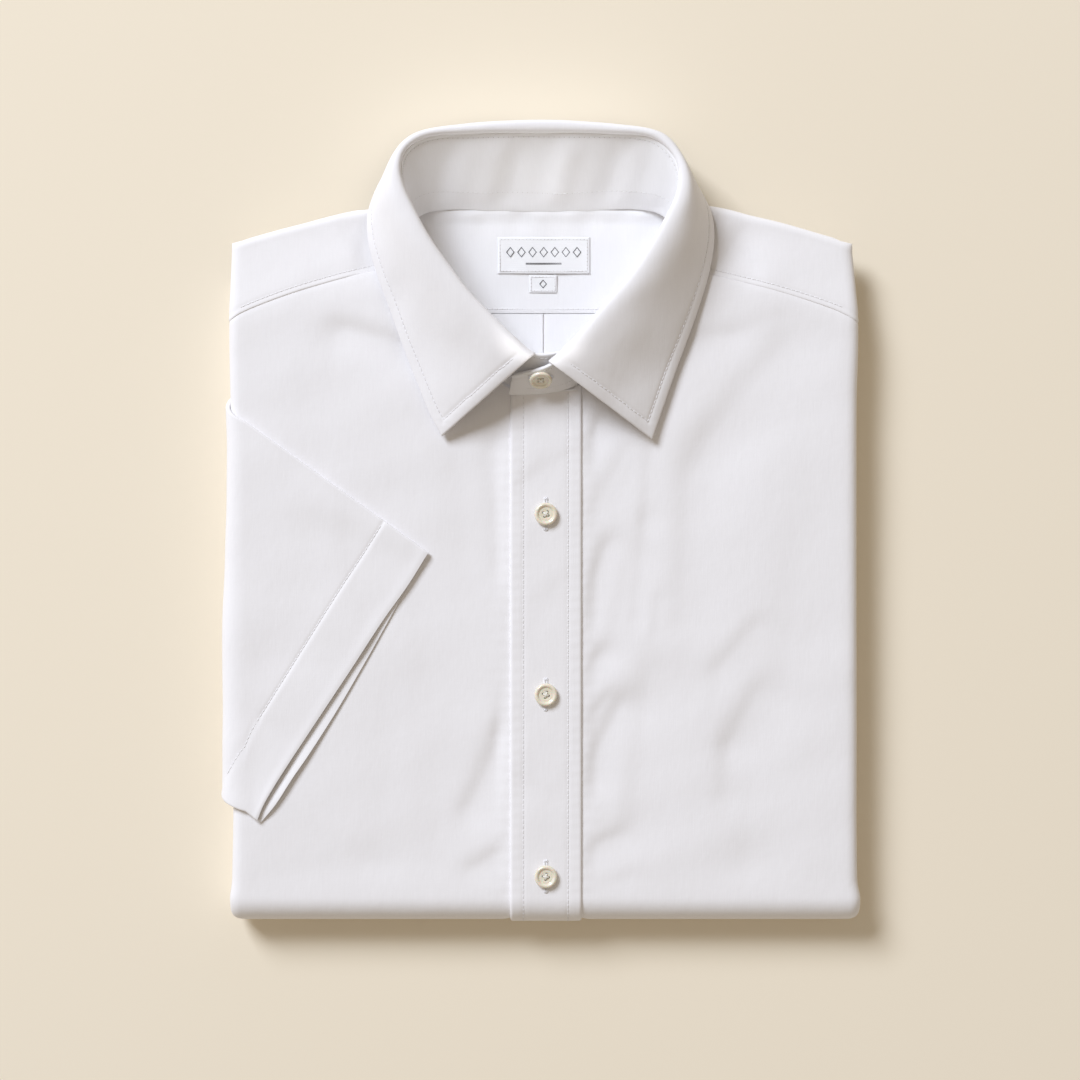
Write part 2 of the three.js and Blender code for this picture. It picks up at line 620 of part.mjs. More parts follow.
// A point of the stand at a height share from its seam, moved out from its middle.
function standPoint(station, share, out) {
  const place = (at) => seamAt(at).lerp(topAt(at), share);
  const here = place(station);
  const ahead = place(station + STATION_STEP);
  const behind = place(station - STATION_STEP);
  const along = ahead.sub(behind).normalize();
  const up = topAt(station).sub(seamAt(station)).normalize();
  const outward = new THREE.Vector3().crossVectors(up, along).normalize();
  const lapped = lapAt(station) * (STAND_PLY + SEAT) * LAP_SHARE;
  return here.addScaledVector(outward, out + lapped);
}

const STAND_ROWS = [0, 0.35, 0.7, 1];

function collarStand() {
  const stations = steps(0, COLLAR.length - 1, (COLLAR.length - 1) * 2);
  return wall({
    columns: stations.length,
    rows: STAND_ROWS.length,
    place: (i, j, layer) => standPoint(stations[i], STAND_ROWS[j], STAND_PLY * (0.5 - layer)),
  });
}

// The leaf's section at a station: it rises from the stand, rolls over and falls to its edge.
function leafSection(station) {
  const lean = topAt(station).sub(seamAt(station)).normalize();
  const start = topAt(station).addScaledVector(lean, SEAT);
  const end = edgeAt(station);
  const out = new THREE.Vector3(end.x - start.x, end.y - start.y, 0).normalize();
  const up = new THREE.Vector3(0, 0, 1);
  const crest = start.clone().addScaledVector(out, ROLL.out).addScaledVector(up, ROLL.up);
  const run = Math.hypot(end.x - crest.x, end.y - crest.y);
  const rise = new THREE.CubicBezierCurve3(
    start,
    start.clone().addScaledVector(lean, ROLL.lean),
    crest.clone().addScaledVector(out, -ROLL.in),
    crest,
  );
  const over = Math.min(ROLL.over + ROLL.overShare * run, ROLL.overMost);
  const fall = new THREE.CubicBezierCurve3(
    crest,
    crest.clone().addScaledVector(out, over),
    end.clone().lerp(crest, FALL.share).addScaledVector(up, FALL.slack),
    end,
  );
  return (along) => (along < 1 ? rise.getPoint(along) : fall.getPoint(along - 1));
}

function leafPoint(station, along, off) {
  const section = leafSection(station);
  const [low, high] = [-ALONG_STEP, ALONG_STEP].map((step) => clamp(along + step, 0, 2));
  const down = section(high).sub(section(low));
  const near = [station - ALONG_STEP, station + ALONG_STEP];
  const [before, after] = near.map((at) => leafSection(at)(along));
  const normal = new THREE.Vector3().crossVectors(down, after.sub(before)).normalize();
  return section(along).addScaledVector(normal, off);
}

// Rows of the leaf: 0 at the stand, 1 at the crest of its roll, 2 at its outer edge.
const LEAF_ROWS = [0, 0.45, 0.8, 1.06, 1.22, 1.42, 1.64, 1.84, 2];

function collarLeaf() {
  const stations = steps(LEAF_FIRST, LEAF_LAST, (LEAF_LAST - LEAF_FIRST) * 2);
  return wall({
    columns: stations.length,
    rows: LEAF_ROWS.length,
    place: (i, j, layer) => leafPoint(stations[i], LEAF_ROWS[j], LEAF_PLY * (0.5 - layer)),
  });
}

// ---- sleeve ----

// The places round the tube's section: share across it, and the angle round its folded edges.
function tubeSection() {
  const flats = [0, 0.03, 0.1, 0.22, 0.36, 0.5, 0.64, 0.78, 0.9, 0.97, 1];
  const bend = [45, 0, -45];
  return [
    ...flats.map((share) => ({ share, angle: 90 })),
    ...bend.map((angle) => ({ share: 1, angle })),
    ...flats.toReversed().map((share) => ({ share, angle: -90 })),
    ...bend.toReversed().map((angle) => ({ share: 0, angle: 180 - angle })),
  ];
}

// Rows along the tube: over the flat as a share of the way to the side fold, then the turns
// round that fold, the same ones as the front panel's.
const SLEEVE_FLATS = [0, 0.07, 0.2, 0.36, 0.52, 0.68, 0.84, 1];
const SLEEVE_TURNS = [68, 46, 24, 0, -22, SLEEVE.endTurn];

function sleeveRight() {
  const section = tubeSection();
  const rows = SLEEVE_FLATS.length + SLEEVE_TURNS.length;
  const bend = SLEEVE.edgeHeight / 2;
  const place = (i, j, layer) => {
    const { share, angle } = section[i];
    const inset = layer * SLEEVE_PLY;
    const { run, rise } = rounded(radians(angle));
    const flat = Math.min(j / (SLEEVE_FLATS.length - 1), 1);
    const along = SLEEVE_FLATS[Math.min(j, SLEEVE_FLATS.length - 1)];
    const turn = j < SLEEVE_FLATS.length ? 90 : SLEEVE_TURNS[j - SLEEVE_FLATS.length];
    const swell = 4 * share * (1 - share) * (1 - smoothstep(flat, 0, SLEEVE.swellEnd));
    const half = lerp(SLEEVE.edgeHeight, SLEEVE.mouthHeight, swell) / 2;
    const lap = rise < 0 ? SLEEVE.lap * rise * (1 - along) : 0;
    const wrapped = (90 - turn) / (90 - SLEEVE.endTurn);
    const y = (row) => lerp(lerp(row.cuff[1], row.foldY, along), row.endY, wrapped);
    const edge = (row) => new THREE.Vector2(
      lerp(row.cuff[0], flatEnd(-1, row.foldY), along) - lap * row.lean[0],
      y(row) - lap * row.lean[1],
    );
    const [top, low] = [edge(SLEEVE.top), edge(SLEEVE.low)];
    const width = top.distanceTo(low);
    const across = bend + (width - 2 * bend) * share + (bend - inset) * run;
    const at = top.clone().lerp(low, across / width);
    const height = SEAT + half + (half - inset) * rise;
    if (j < SLEEVE_FLATS.length - 1) return face({ x: at.x }, { y: at.y }, height);
    const point = face({ x: flatEnd(-1, at.y), side: -1, turn }, { y: at.y }, height);
    const { most, fromY, toY } = SLEEVE.bulge;
    point.x -= most * rounded(radians(turn)).run * smoothstep(-at.y, -fromY, -toY);
    return point;
  };
  return wall({ columns: section.length, rows, ring: true, place });
}

// ---- buttons and labels ----

// A button's section from its back round the rim to its sunk middle, as shares of its size.
const BUTTON_PROFILE = [
  { out: 0, up: 0 },
  { out: 0.62, up: 0 },
  { out: 0.94, up: 0.3 },
  { out: 1, up: 0.55 },
  { out: 0.93, up: 0.9 },
  { out: 0.8, up: 1 },
  { out: 0.66, up: 0.92 },
  { out: 0.56, up: 0.62 },
  { out: 0, up: 0.6 },
];
const BUTTON_SIDES = 18;
const HOLE_SIDES = 6;
const HOLE_TURNS = [45, 135, 225, 315];

function button() {
  const { radius, height } = BUTTON;
  const profile = BUTTON_PROFILE.map(({ out, up }) => new THREE.Vector2(out * radius, up * height));
  const disc = new THREE.LatheGeometry(profile, BUTTON_SIDES);
  disc.rotateX(Math.PI / 2);
  let made = toManifold(disc);
  for (const turn of HOLE_TURNS) {
    const hole = new THREE.CylinderGeometry(BUTTON.hole, BUTTON.hole, 3 * height, HOLE_SIDES);
    hole.rotateX(Math.PI / 2);
    const angle = radians(turn);
    hole.translate(BUTTON.holeReach * Math.cos(angle), BUTTON.holeReach * Math.sin(angle), 0);
    made = made.subtract(toManifold(hole));
  }
  return toGeometry(made);
}

const plate = ({ width, length }) => new THREE.BoxGeometry(width, length, LABEL_PLY);

// ---- materials and assembly ----

const material = (color, roughness) => {
  return new THREE.MeshStandardMaterial({ color, roughness, metalness: 0 });
};

const shirt = new THREE.Group();

function add(name, geometry, color, roughness = 0.85) {
  const mesh = new THREE.Mesh(geometry, material(color, roughness));
  mesh.name = name;
  shirt.add(mesh);
  return mesh;
}

const WHITE = 0xf3f1f4;
const SHADE = 0xe7e5e9;
const PEARL = 0xf2ecd8;

add("core_layers", coreLayers(), SHADE);
add("front_right", frontRight(), WHITE);
add("front_left", frontLeft(), WHITE);
add("placket", placket(), WHITE);
add("yoke_outer", yokeOuter(), WHITE);
add("yoke_inner", yokeInner(), SHADE);
add("back", back(), SHADE);
add("collar_stand", collarStand(), SHADE);
add("collar_leaf", collarLeaf(), WHITE);
add("sleeve_right", sleeveRight(), WHITE);

const NECK_LEVEL = NECK_FLOOR + SEAT + PLY + SEAT;
const tab = add("size_tab", plate(SIZE_TAB), WHITE, 0.7);
tab.position.set(SIZE_TAB.x, SIZE_TAB.y, NECK_LEVEL + LABEL_PLY / 2);
const label = add("label", plate(LABEL), WHITE, 0.7);
label.position.set(LABEL.x, LABEL.y, NECK_LEVEL + LABEL_PLY / 2);

BUTTON_ROWS.forEach((y, k) => {
  const mesh = add(`button_${k + 2}`, button(), PEARL, 0.35);
  mesh.position.copy(face({ x: BUTTON.x }, { y }, PLACKET_OUT + SEAT));
});

const COLLAR_BUTTON = { station: COLLAR.length - 1.72, share: 0.64 };
const neckButton = add("button_1", button(), PEARL, 0.35);
const standFace = STAND_PLY / 2 + SEAT;
const { station, share } = COLLAR_BUTTON;
neckButton.position.copy(standPoint(station, share, standFace));
const outwards = standPoint(station, share, 1).sub(standPoint(station, share, 0));
neckButton.quaternion.setFromUnitVectors(new THREE.Vector3(0, 0, 1), outwards.normalize());

// The origin is under the middle of the whole garment, on the surface that it lies on.
shirt.updateMatrixWorld(true);
const box = new THREE.Box3().setFromObject(shirt, true);
const middle = box.getCenter(new THREE.Vector3());
shirt.position.set(-middle.x, -middle.y, -box.min.z);

export default shirt;
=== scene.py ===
import math

import bmesh
import bpy
import numpy as np
from bpy.props import FloatProperty, FloatVectorProperty, PointerProperty
from bpy.types import Operator, Panel, PropertyGroup
from mathutils import Matrix, Vector


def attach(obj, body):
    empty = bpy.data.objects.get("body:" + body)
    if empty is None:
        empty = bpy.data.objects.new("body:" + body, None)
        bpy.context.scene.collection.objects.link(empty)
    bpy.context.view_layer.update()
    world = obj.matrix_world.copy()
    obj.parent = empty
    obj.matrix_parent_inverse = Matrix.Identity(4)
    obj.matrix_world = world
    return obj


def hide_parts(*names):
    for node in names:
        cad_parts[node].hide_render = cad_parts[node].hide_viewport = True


bl_info = {
    "name": "Folded short-sleeve shirt",
    "version": (1, 0, 0),
    "blender": (4, 5, 0),
    "location": "3D View > Sidebar > Shirt",
    "description": "Dresses the folded shirt: thin cloth with its creases, stitching, buttons and labels",
    "category": "Object",
}

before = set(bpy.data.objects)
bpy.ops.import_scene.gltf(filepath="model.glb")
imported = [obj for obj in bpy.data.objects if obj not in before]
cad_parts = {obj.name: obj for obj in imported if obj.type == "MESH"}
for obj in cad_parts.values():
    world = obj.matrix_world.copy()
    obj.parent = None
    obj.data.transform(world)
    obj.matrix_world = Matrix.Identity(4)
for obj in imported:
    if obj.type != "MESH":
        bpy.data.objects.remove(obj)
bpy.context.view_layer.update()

# ---- sizes that follow the solids, in millimetres ----

OFFSET = np.array([0.395, -1.503, 0.0])  # from the tables' own origin to the frame's
ACROSS, ALONG, UP = np.eye(3)
SEAT = 0.3  # between one piece and the next
FOLD_PLANE, CHEST = 12.0, 24.0
SHOULDER_FALL, SHOULDER_RUN = 3.5, 45.0
SIDE_ROUND, SHOULDER_ROUND = 7.0, 5.0
SQUARENESS = 0.8
HEM_AXIS_Y = -187.0
FADE_HEM, FADE_PLACKET = 20.0, 8.0
PRESSED_FROM, PRESSED_TO = 20.0, 160.0
UNDER_INSET = 19.0
PLACKET_LEFT, PLACKET_RIGHT, PLACKET_TOP = -15.6, 20.1, 69.5
PLACKET_OUT = 1.5
PLACKET_MIDDLE = (PLACKET_LEFT + PLACKET_RIGHT) / 2
PLACKET_HALF = (PLACKET_RIGHT - PLACKET_LEFT) / 2
PRESS_RAMP = 3.2
NECK_FLOOR, NECK_PLY = 13.2, 1.2
NECK_CENTRE_Y, NECK_WIDEST_Y = 115.0, 143
YOKE_BACK_SEAM_Y = 106.4
NECK_HALF = 69.0
PLEAT_X = 0.7
BUTTON_X, BUTTON_ROWS = 2.2, (5.2, -85.0, -175.8)
BUTTON_RADIUS, BUTTON_HEIGHT = 5.7, 2.6
LABEL_CENTRE, LABEL_SIZE = (1.1, 135.6), (46.5, 18.5)
TAB_CENTRE, TAB_SIZE = (0.8, 121.2), (14.0, 9.0)

EDGES = {
    "y": (-199, -190, -178, -100, 20, 62, 102, 145),
    "left": (-154.6, -156.6, -155.4, -154.4, -154.6, -156.2, -156.8, -155.4),
    "right": (158.6, 160.4, 158.6, 158.3, 158.2, 158.3, 159.0, 155.6),
}
SHOULDERS = {
    "x": (-157, -148, -120, -84, -60, 60, 84, 118, 148, 159),
    "fold": (141.4, 143.8, 151.6, 160, 161.4, 161.4, 160.4, 152.6, 144, 141.2),
    "seam": (102, 107.2, 117.6, 127.4, 132, 132, 125.6, 117, 107.2, 101.4),
}

# The collar in stations: where the stand is sewn on, its top, the leaf's outer edge, and the lap.
COLLAR = [
    ((16.7, 69.4, 27.4), (12.1, 85, 41), None, -1),
    ((-3.7, 68, 27.2), (-3.2, 83.6, 42), (-49.6, 44.1, 27.2), -1),
    ((-13.2, 69.3, 26.9), (-14.5, 92.4, 43.5), (-55.1, 54.1, 27), -0.8),
    ((-23.2, 76.1, 25.8), (-25.8, 103.2, 44), (-62.1, 71.1, 26.6), 0),
    ((-35.7, 88.6, 25.3), (-36.9, 114.9, 44.5), (-68.9, 88.6, 26.4), 0),
    ((-48.2, 103.1, 25.2), (-47.2, 128.6, 44.8), (-75.4, 107.1, 26.2), 0),
    ((-58.7, 117.1, 25), (-56, 141.4, 45), (-81.9, 125, 25.8), 0),
    ((-65.7, 131.2, 24.3), (-63.4, 155.2, 44.5), (-86.4, 142.1, 24.6), 0),
    ((-67.6, 142.3, 23.1), (-68.7, 167.4, 43.5), (-86.6, 154.6, 22.6), 0),
    ((-65.8, 151.5, 21.5), (-70, 176.5, 42), (-83.2, 167, 17), 0),
    ((-59, 157.6, 18.5), (-67.4, 184.7, 40), (-76, 181, 11), 0),
    ((-46, 159.8, 16.5), (-57.6, 191.4, 38.5), (-66.6, 192.8, 7.5), 0),
    ((-25.9, 159.4, 15.9), (-32.4, 193.8, 37), (-41.9, 200.6, 6), 0),
    ((-0.2, 158.8, 15.8), (-0.3, 194.2, 36.5), (-0.2, 201.4, 5.5), 0),
    ((25.4, 159.4, 15.9), (31.9, 193.8, 37), (41.9, 200.4, 6), 0),
    ((47, 160, 16.5), (54.6, 191.4, 38.5), (62.1, 193, 7.5), 0),
    ((58.4, 158, 18.5), (64.4, 183.7, 40), (71, 181, 11), 0),
    ((65.6, 151.8, 21.5), (68.2, 174.5, 42), (79.4, 167.4, 17), 0),
    ((67.8, 142.8, 23.1), (67.2, 163.5, 43.5), (84.8, 155, 22.6), 0),
    ((66, 131.2, 24.3), (62.2, 151.8, 44.5), (85.9, 142.1, 24.6), 0),
    ((59.2, 117.1, 25), (53.8, 136.7, 45), (83.1, 124.5, 25.8), 0),
    ((49.2, 103.1, 25.2), (43.5, 121.5, 44.8), (77.4, 105.6, 26.2), 0),
    ((36.7, 89.1, 25.3), (32.2, 108.8, 44.5), (71.1, 88.1, 26.4), 0),
    ((24.2, 77.6, 25.8), (19.9, 94.8, 44), (65.6, 73.1, 26.6), 0),
    ((14.2, 70.6, 26.8), (10.6, 85.7, 43.5), (60.6, 58.6, 27), 0.7),
    ((5.2, 68.2, 27.4), (3.7, 79.7, 42), (55.1, 42.6, 27.2), 1),
    ((-16.2, 66.8, 27.6), (-14.1, 75, 35), None, 1),
]
LEAF_FIRST, LEAF_LAST = 1, len(COLLAR) - 2
STAND_PLY, LEAF_PLY = 2.0, 1.7

# Folds and dents of the fronts: from, to, half width, depth (under 0 for a ridge).
CREASES = [
    (-71, 90, -98, 97, 6, 1.9), (-85, 130, -95, 147, 5, 1.2), (-92, 128, -112, 122, 6, 0.5),
    (86, 147, 105, 129, 5, 1.0), (76, 92.5, 96, 94, 6, 0.7), (96, 94, 120, 102, 7, 0.6),
    (122, 87, 86, 44, 10, 1.3), (86, 44, 74, 24, 9, 0.6), (35.6, 61, 22, 37, 5, 1.5), (42, 34, 27, 6, 6, 0.7),
    (55.5, 40, 52.5, 2, 4, 0.5), (52.5, 2, 48.5, -46, 4, 0.4), (76, 25, 71, -46, 8, 0.9),
    (33, -12, 21, -43, 5, 1.4), (46, -20, 36, -60, 6, 0.6), (29, -66, 21.5, -77, 4, 1.0),
    (32.5, -88, 22, -100, 4, 0.8), (40, -92, 23, -125, 5.5, 1.5), (59, -38, 57.5, -54, 3, 0.4),
    (55, -77, 48.5, -148, 8, 0.9), (37, -157, 22, -164, 4.5, 0.9), (41, -180, 25, -187, 5, 0.7),
    (107, -53, 91, -71, 6, 0.9), (108, -87, 96, -109, 7, 1.3), (94.5, -114, 93, -134, 6, 0.8),
    (112, -117, 105, -174, 12, 0.7), (130, -20, 122, -80, 12, 0.5),
    (-18, -106, -35, -141, 6, 1.5), (-17, -87, -21, -104, 4, 0.9), (-18.5, -163, -32, -172, 5, 0.9),
    (-24, 36, -19, -20, 6, 0.9), (-42, 50, -36, -10, 10, 0.7), (-60, -24, -56, -70, 9, 0.5),
    (-72, -90, -78, -160, 12, 0.6), (-110, -160, -80, -176, 10, 0.4), (-52, -120, -50, -170, 10, 0.5),
]


# ---- helpers for shapes ----


def smoothstep(value, low, high):
    share = np.clip((value - low) / (high - low), 0, 1)
    return share * share * (3 - 2 * share)


def mix(a, b, share):
    return a + (b - a) * share


def unit(v):
    return v / np.maximum(np.linalg.norm(v, axis=-1, keepdims=True), 1e-9)


def read(table, key, column, at):
    """A column of a table at places between its rows, as a smooth curve through them."""
    keys = np.asarray(table[key], float)
    values = np.asarray(table[column], float)
    place = np.clip(np.asarray(at, float), keys[0], keys[-1])
    k = np.clip(np.searchsorted(keys, place) - 1, 0, len(keys) - 2)
    index = np.arange(len(keys))
    low, high = np.maximum(index - 1, 0), np.minimum(index + 1, len(keys) - 1)
    slope = (values[high] - values[low]) / (keys[high] - keys[low])
    span = keys[k + 1] - keys[k]
    t = (place - keys[k]) / span
    start = values[k] * (1 + 2 * t) * (1 - t) ** 2
    end = values[k + 1] * (3 - 2 * t) * t**2
    bend = slope[k] * t * (1 - t) ** 2 - slope[k + 1] * (1 - t) * t**2
    return start + end + bend * span


def rounded(degrees):
    angle = np.radians(degrees)

    def power(value):
        return np.sign(value) * np.abs(value) ** SQUARENESS

    return power(np.cos(angle)), power(np.sin(angle))


def edge_x(side, y):
    return np.where(np.asarray(side) < 0, read(EDGES, "y", "left", y), read(EDGES, "y", "right", y))


def flat_end(side, y):
    return edge_x(side, y) - side * SIDE_ROUND


def shoulder_fold(x):
    return read(SHOULDERS, "x", "fold", x)


def yoke_seam(x):
    return read(SHOULDERS, "x", "seam", x)


def trough_sum(x, y, table):
    total = np.zeros(np.broadcast(x, y).shape)
    for x0, y0, x1, y1, width, depth in table:
        along_x, along_y = x1 - x0, y1 - y0
        share = ((x - x0) * along_x + (y - y0) * along_y) / (along_x**2 + along_y**2)
        near = np.clip(share, 0, 1)
        off_x, off_y = x - x0 - near * along_x, y - y0 - near * along_y
        away = np.hypot(off_x, off_y)
        # Steep on the upper left and easy on the lower right, as a pressed fold settles.
        square = np.array([-along_y, along_x]) / math.hypot(along_x, along_y)
        square = square * (1 if square[1] > square[0] else -1)
        toward = (off_x * square[0] + off_y * square[1]) / np.maximum(away, 1e-6)
        total = total + depth * np.exp(-((away / (width * (1.7 - 0.7 * toward))) ** 2))
    return total


def waves(x, y, seed, longest, shortest, count):
    """Soft unevenness of cloth that has been handled, between -1 and 1 for the most part."""
    rng = np.random.default_rng(seed)
    total = np.zeros(np.broadcast(x, y).shape)
    for _ in range(count):
        length = math.exp(rng.uniform(math.log(shortest), math.log(longest)))
        angle, phase = rng.uniform(0, math.pi), rng.uniform(0, 2 * math.pi)
        total = total + np.sin((x * math.cos(angle) + y * math.sin(angle)) * 2 * math.pi / length + phase)
    return total / math.sqrt(count)


def dip(x, y):
    """How far the front lies below the chest's height."""
    beside = np.abs(x - PLACKET_MIDDLE) - PLACKET_HALF
    fade = smoothstep(y, HEM_AXIS_Y, HEM_AXIS_Y + FADE_HEM) * smoothstep(beside, 0, FADE_PLACKET)
    fall = SHOULDER_FALL * (1 - smoothstep(shoulder_fold(x) - y, 0, SHOULDER_RUN))
    uneven = 0.16 * waves(x, y, 4, 90, 26, 12)
    return fall + (trough_sum(x, y, CREASES) - uneven) * fade


def face(x, y, out, side=1.0, turn=90.0, hem=0.0, shoulder=None):
    """Points of the folded shirt's outer face, moved out: the same folds as the solids have."""
    level = CHEST - np.where(np.asarray(hem) > 0, 0, dip(x, y))
    half = (level - FOLD_PLANE + SEAT) / 2
    run, rise = rounded(turn)
    across = x + side * (SIDE_ROUND + out) * run
    if shoulder is not None:
        over_run, over_rise = rounded(shoulder)
        along = y + (SHOULDER_ROUND + out) * over_run
        height = FOLD_PLANE + half + (half - SEAT + out) * rise * over_rise
        return np.stack(np.broadcast_arrays(across, along, height), -1)
    radius = half + (half - SEAT + out) * rise
    turned = np.radians(hem)
    along = y - radius * np.sin(turned)
    height = FOLD_PLANE + radius * np.cos(turned)
    return np.stack(np.broadcast_arrays(across, along, height), -1)


def normals(grid):
    across = np.gradient(grid, axis=1)
    along = np.gradient(grid, axis=0)
    return unit(np.cross(across, along))


def reach_x(side, turn, x):
    run, _ = rounded(np.maximum(turn, 0))
    return x + side * SIDE_ROUND * run


# ---- helpers for objects ----


def place_object(name, data, place=(0, 0, 0)):
    made = bpy.data.objects.new(name, data)
    bpy.context.scene.collection.objects.link(made)
    made.location = place
    return made


def link(name, mesh, material):
    mesh.materials.append(material)
    return place_object(name, mesh)


def mesh_object(name, points, faces, material, sharp=50):
    """A piece from points in millimetres, smooth but for its sharp edges, faces turned outward."""
    mesh = bpy.data.meshes.new(name)
    mesh.from_pydata(((np.asarray(points) + OFFSET) / 1000).tolist(), [], faces)
    mesh.update()
    mesh.validate()
    mesh.shade_smooth()
    mesh.set_sharp_from_angle(angle=math.radians(sharp))
    made = bmesh.new()
    made.from_mesh(mesh)
    bmesh.ops.recalc_face_normals(made, faces=made.faces)
    made.to_mesh(mesh)
    made.free()
    return link(name, mesh, material)


def shell(name, outer, inner, material, keep=None, ring=False, sharp=50):
    """A thin closed sheet between two grids of points; keep says which cells are cloth."""
    rows, columns = outer.shape[:2]
    count = rows * columns
    cells = (rows - 1, columns if ring else columns - 1)
    j, i = np.nonzero(np.ones(cells, bool) if keep is None else keep)
    index, right = np.arange(count).reshape(rows, columns), (i + 1) % columns
    quads = np.stack([index[j, i], index[j, right], index[j + 1, right], index[j + 1, i]], 1)
    # An edge that no second cell runs along the other way is on the rim.
    starts, ends = quads.ravel(), np.roll(quads, -1, 1).ravel()
    free = ~np.isin(starts * count + ends, ends * count + starts)
    rims = np.stack([starts, starts + count, ends + count, ends], 1)[free]
    faces = np.concatenate([quads, np.roll(quads[:, ::-1], 1, 1) + count, rims])
    points = np.concatenate([outer.reshape(-1, 3), inner.reshape(-1, 3)])
    used, renumbered = np.unique(faces, return_inverse=True)
    return mesh_object(name, points[used], renumbered.reshape(-1, 4).tolist(), material, sharp)


def skin(rings, closed=False):
    """Points and faces of a body over rings of points: capped at both ends, or closed on itself."""
    rings = np.asarray(rings, float)
    index = np.arange(rings.shape[0] * rings.shape[1]).reshape(rings.shape[:2])
    ahead = np.roll(index, -1, 0)
    quads = np.stack([index, np.roll(index, -1, 1), np.roll(ahead, -1, 1), ahead], -1)
    points = rings.reshape(-1, 3)
    if closed:
        return points, quads.reshape(-1, 4).tolist()
    return points, quads[:-1].reshape(-1, 4).tolist() + [index[0, ::-1].tolist(), index[-1].tolist()]


def circle(across, over, sides):
    """Directions round a circle, for each pair of directions square to each other."""
    angle = np.linspace(0, 2 * math.pi, sides, endpoint=False)[:, None]
    return across[..., None, :] * np.cos(angle) + over[..., None, :] * np.sin(angle)


def join(bodies):
    points, faces, start = [], [], 0
    for body_points, body_faces in bodies:
        points.append(body_points)
        faces += [[v + start for v in f] for f in body_faces]
        start += len(body_points)
    return np.concatenate(points), faces


def settle(piece, slot, *nodes):
    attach(piece, "root")
    if nodes:
        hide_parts(*nodes)


# Steps along a stitch: how far along it, its rise and its thickness, in shares.
STITCH_STEPS = np.array([(0, -0.9, 0.5), (0.14, 0.1, 1), (0.5, 0.5, 1.05), (0.86, 0.1, 1), (1, -0.9, 0.5)])
STITCH_SIDES = 6
# Needle holes: small discs coloured grey as painted shade of the pits between the stitches.
HOLE = {"radius": 0.27, "top": 0.6, "rise": 0.14, "sunk": 0.1, "sides": 7}
STEP_AWAY = 0.1  # to each side of a place, to read a line's direction there


def stitch_row(holes, line, ups, length=None, gap=None, thick=1.0, closed=False):
    """A row of lockstitches along a line that lies on the cloth, each with a needle hole after it: a small
    disc whose grey colour is painted shade of the pit between two stitches. The holes are added to a list of
    bodies."""
    sizes = bpy.context.scene.shirt_sizes
    length, gap = length or sizes.stitch_length, gap or sizes.stitch_gap
    radius = thick * sizes.thread / 2
    line = np.asarray(line, float)
    ups = np.broadcast_to(np.asarray(ups, float), line.shape)
    if closed:
        line, ups = (np.concatenate([table, table[:1]]) for table in (line, ups))
    far = np.concatenate([[0], np.cumsum(np.linalg.norm(np.diff(line, axis=0), axis=1))])
    count = max(int(far[-1] / (length + gap)), 1)
    pitch = far[-1] / count

    def read_at(table, at):
        return np.stack([np.interp(at, far, table[:, k]) for k in range(3)], -1)

    def section(at, near):
        """Places on the line, their up, and the line's direction, which is read near them."""
        ahead, behind = np.minimum(near + STEP_AWAY, far[-1]), np.maximum(near - STEP_AWAY, 0)
        return read_at(line, at), unit(read_at(ups, at)), unit(read_at(line, ahead) - read_at(line, behind))

    shares, rises, fats = STITCH_STEPS.T[..., None]
    starts = np.arange(count)[:, None] * pitch
    reach = shares[:, 0] * pitch
    place, up, along = section(starts + reach * length / (length + gap), starts + reach)
    round_it = circle(np.cross(along, up), up, STITCH_SIDES)
    stitches = (place + up * rises * radius)[..., None, :] + round_it * radius * fats[..., None]
    pits = np.minimum(starts[:, 0] + pitch * (1 - 0.5 * gap / (length + gap)), far[-1])
    place, up, along = section(pits, pits)
    rim = HOLE["radius"] * circle(np.cross(along, up), along, HOLE["sides"])
    place, up = place[:, None], up[:, None]
    pairs = np.stack([place + rim - up * HOLE["sunk"], place + HOLE["top"] * rim + up * HOLE["rise"]], 1)
    holes += [skin(pair) for pair in pairs]
    return join([skin(stitch) for stitch in stitches])


# ---- materials ----


def linear(colour):
    """sRGB, as a hex number or three shares, to linear light."""
    if isinstance(colour, int):
        colour = [((colour >> shift) & 255) / 255 for shift in (16, 8, 0)]
    made = [c / 12.92 if c <= 0.04045 else ((c + 0.055) / 1.055) ** 2.4 for c in colour]
    return (*made, 1.0)


def node(tree, kind, settings=None, inputs=None, links=None):
    """Adds a node with its settings, its values and what is linked into it."""
    made = tree.nodes.new(kind)
    for key, value in (settings or {}).items():
        setattr(made, key, value)
    for key, value in (inputs or {}).items():
        made.inputs[key].default_value = value
    for key, (source, socket) in (links or {}).items():
        tree.links.new(source.outputs[socket], made.inputs[key])
    return made


def shader(name, **values):
    material = bpy.data.materials.new(name)
    material.use_nodes = True
    principled = material.node_tree.nodes["Principled BSDF"]
    for key, value in values.items():
        principled.inputs[key.replace("_", " ")].default_value = value
    return material, material.node_tree, principled


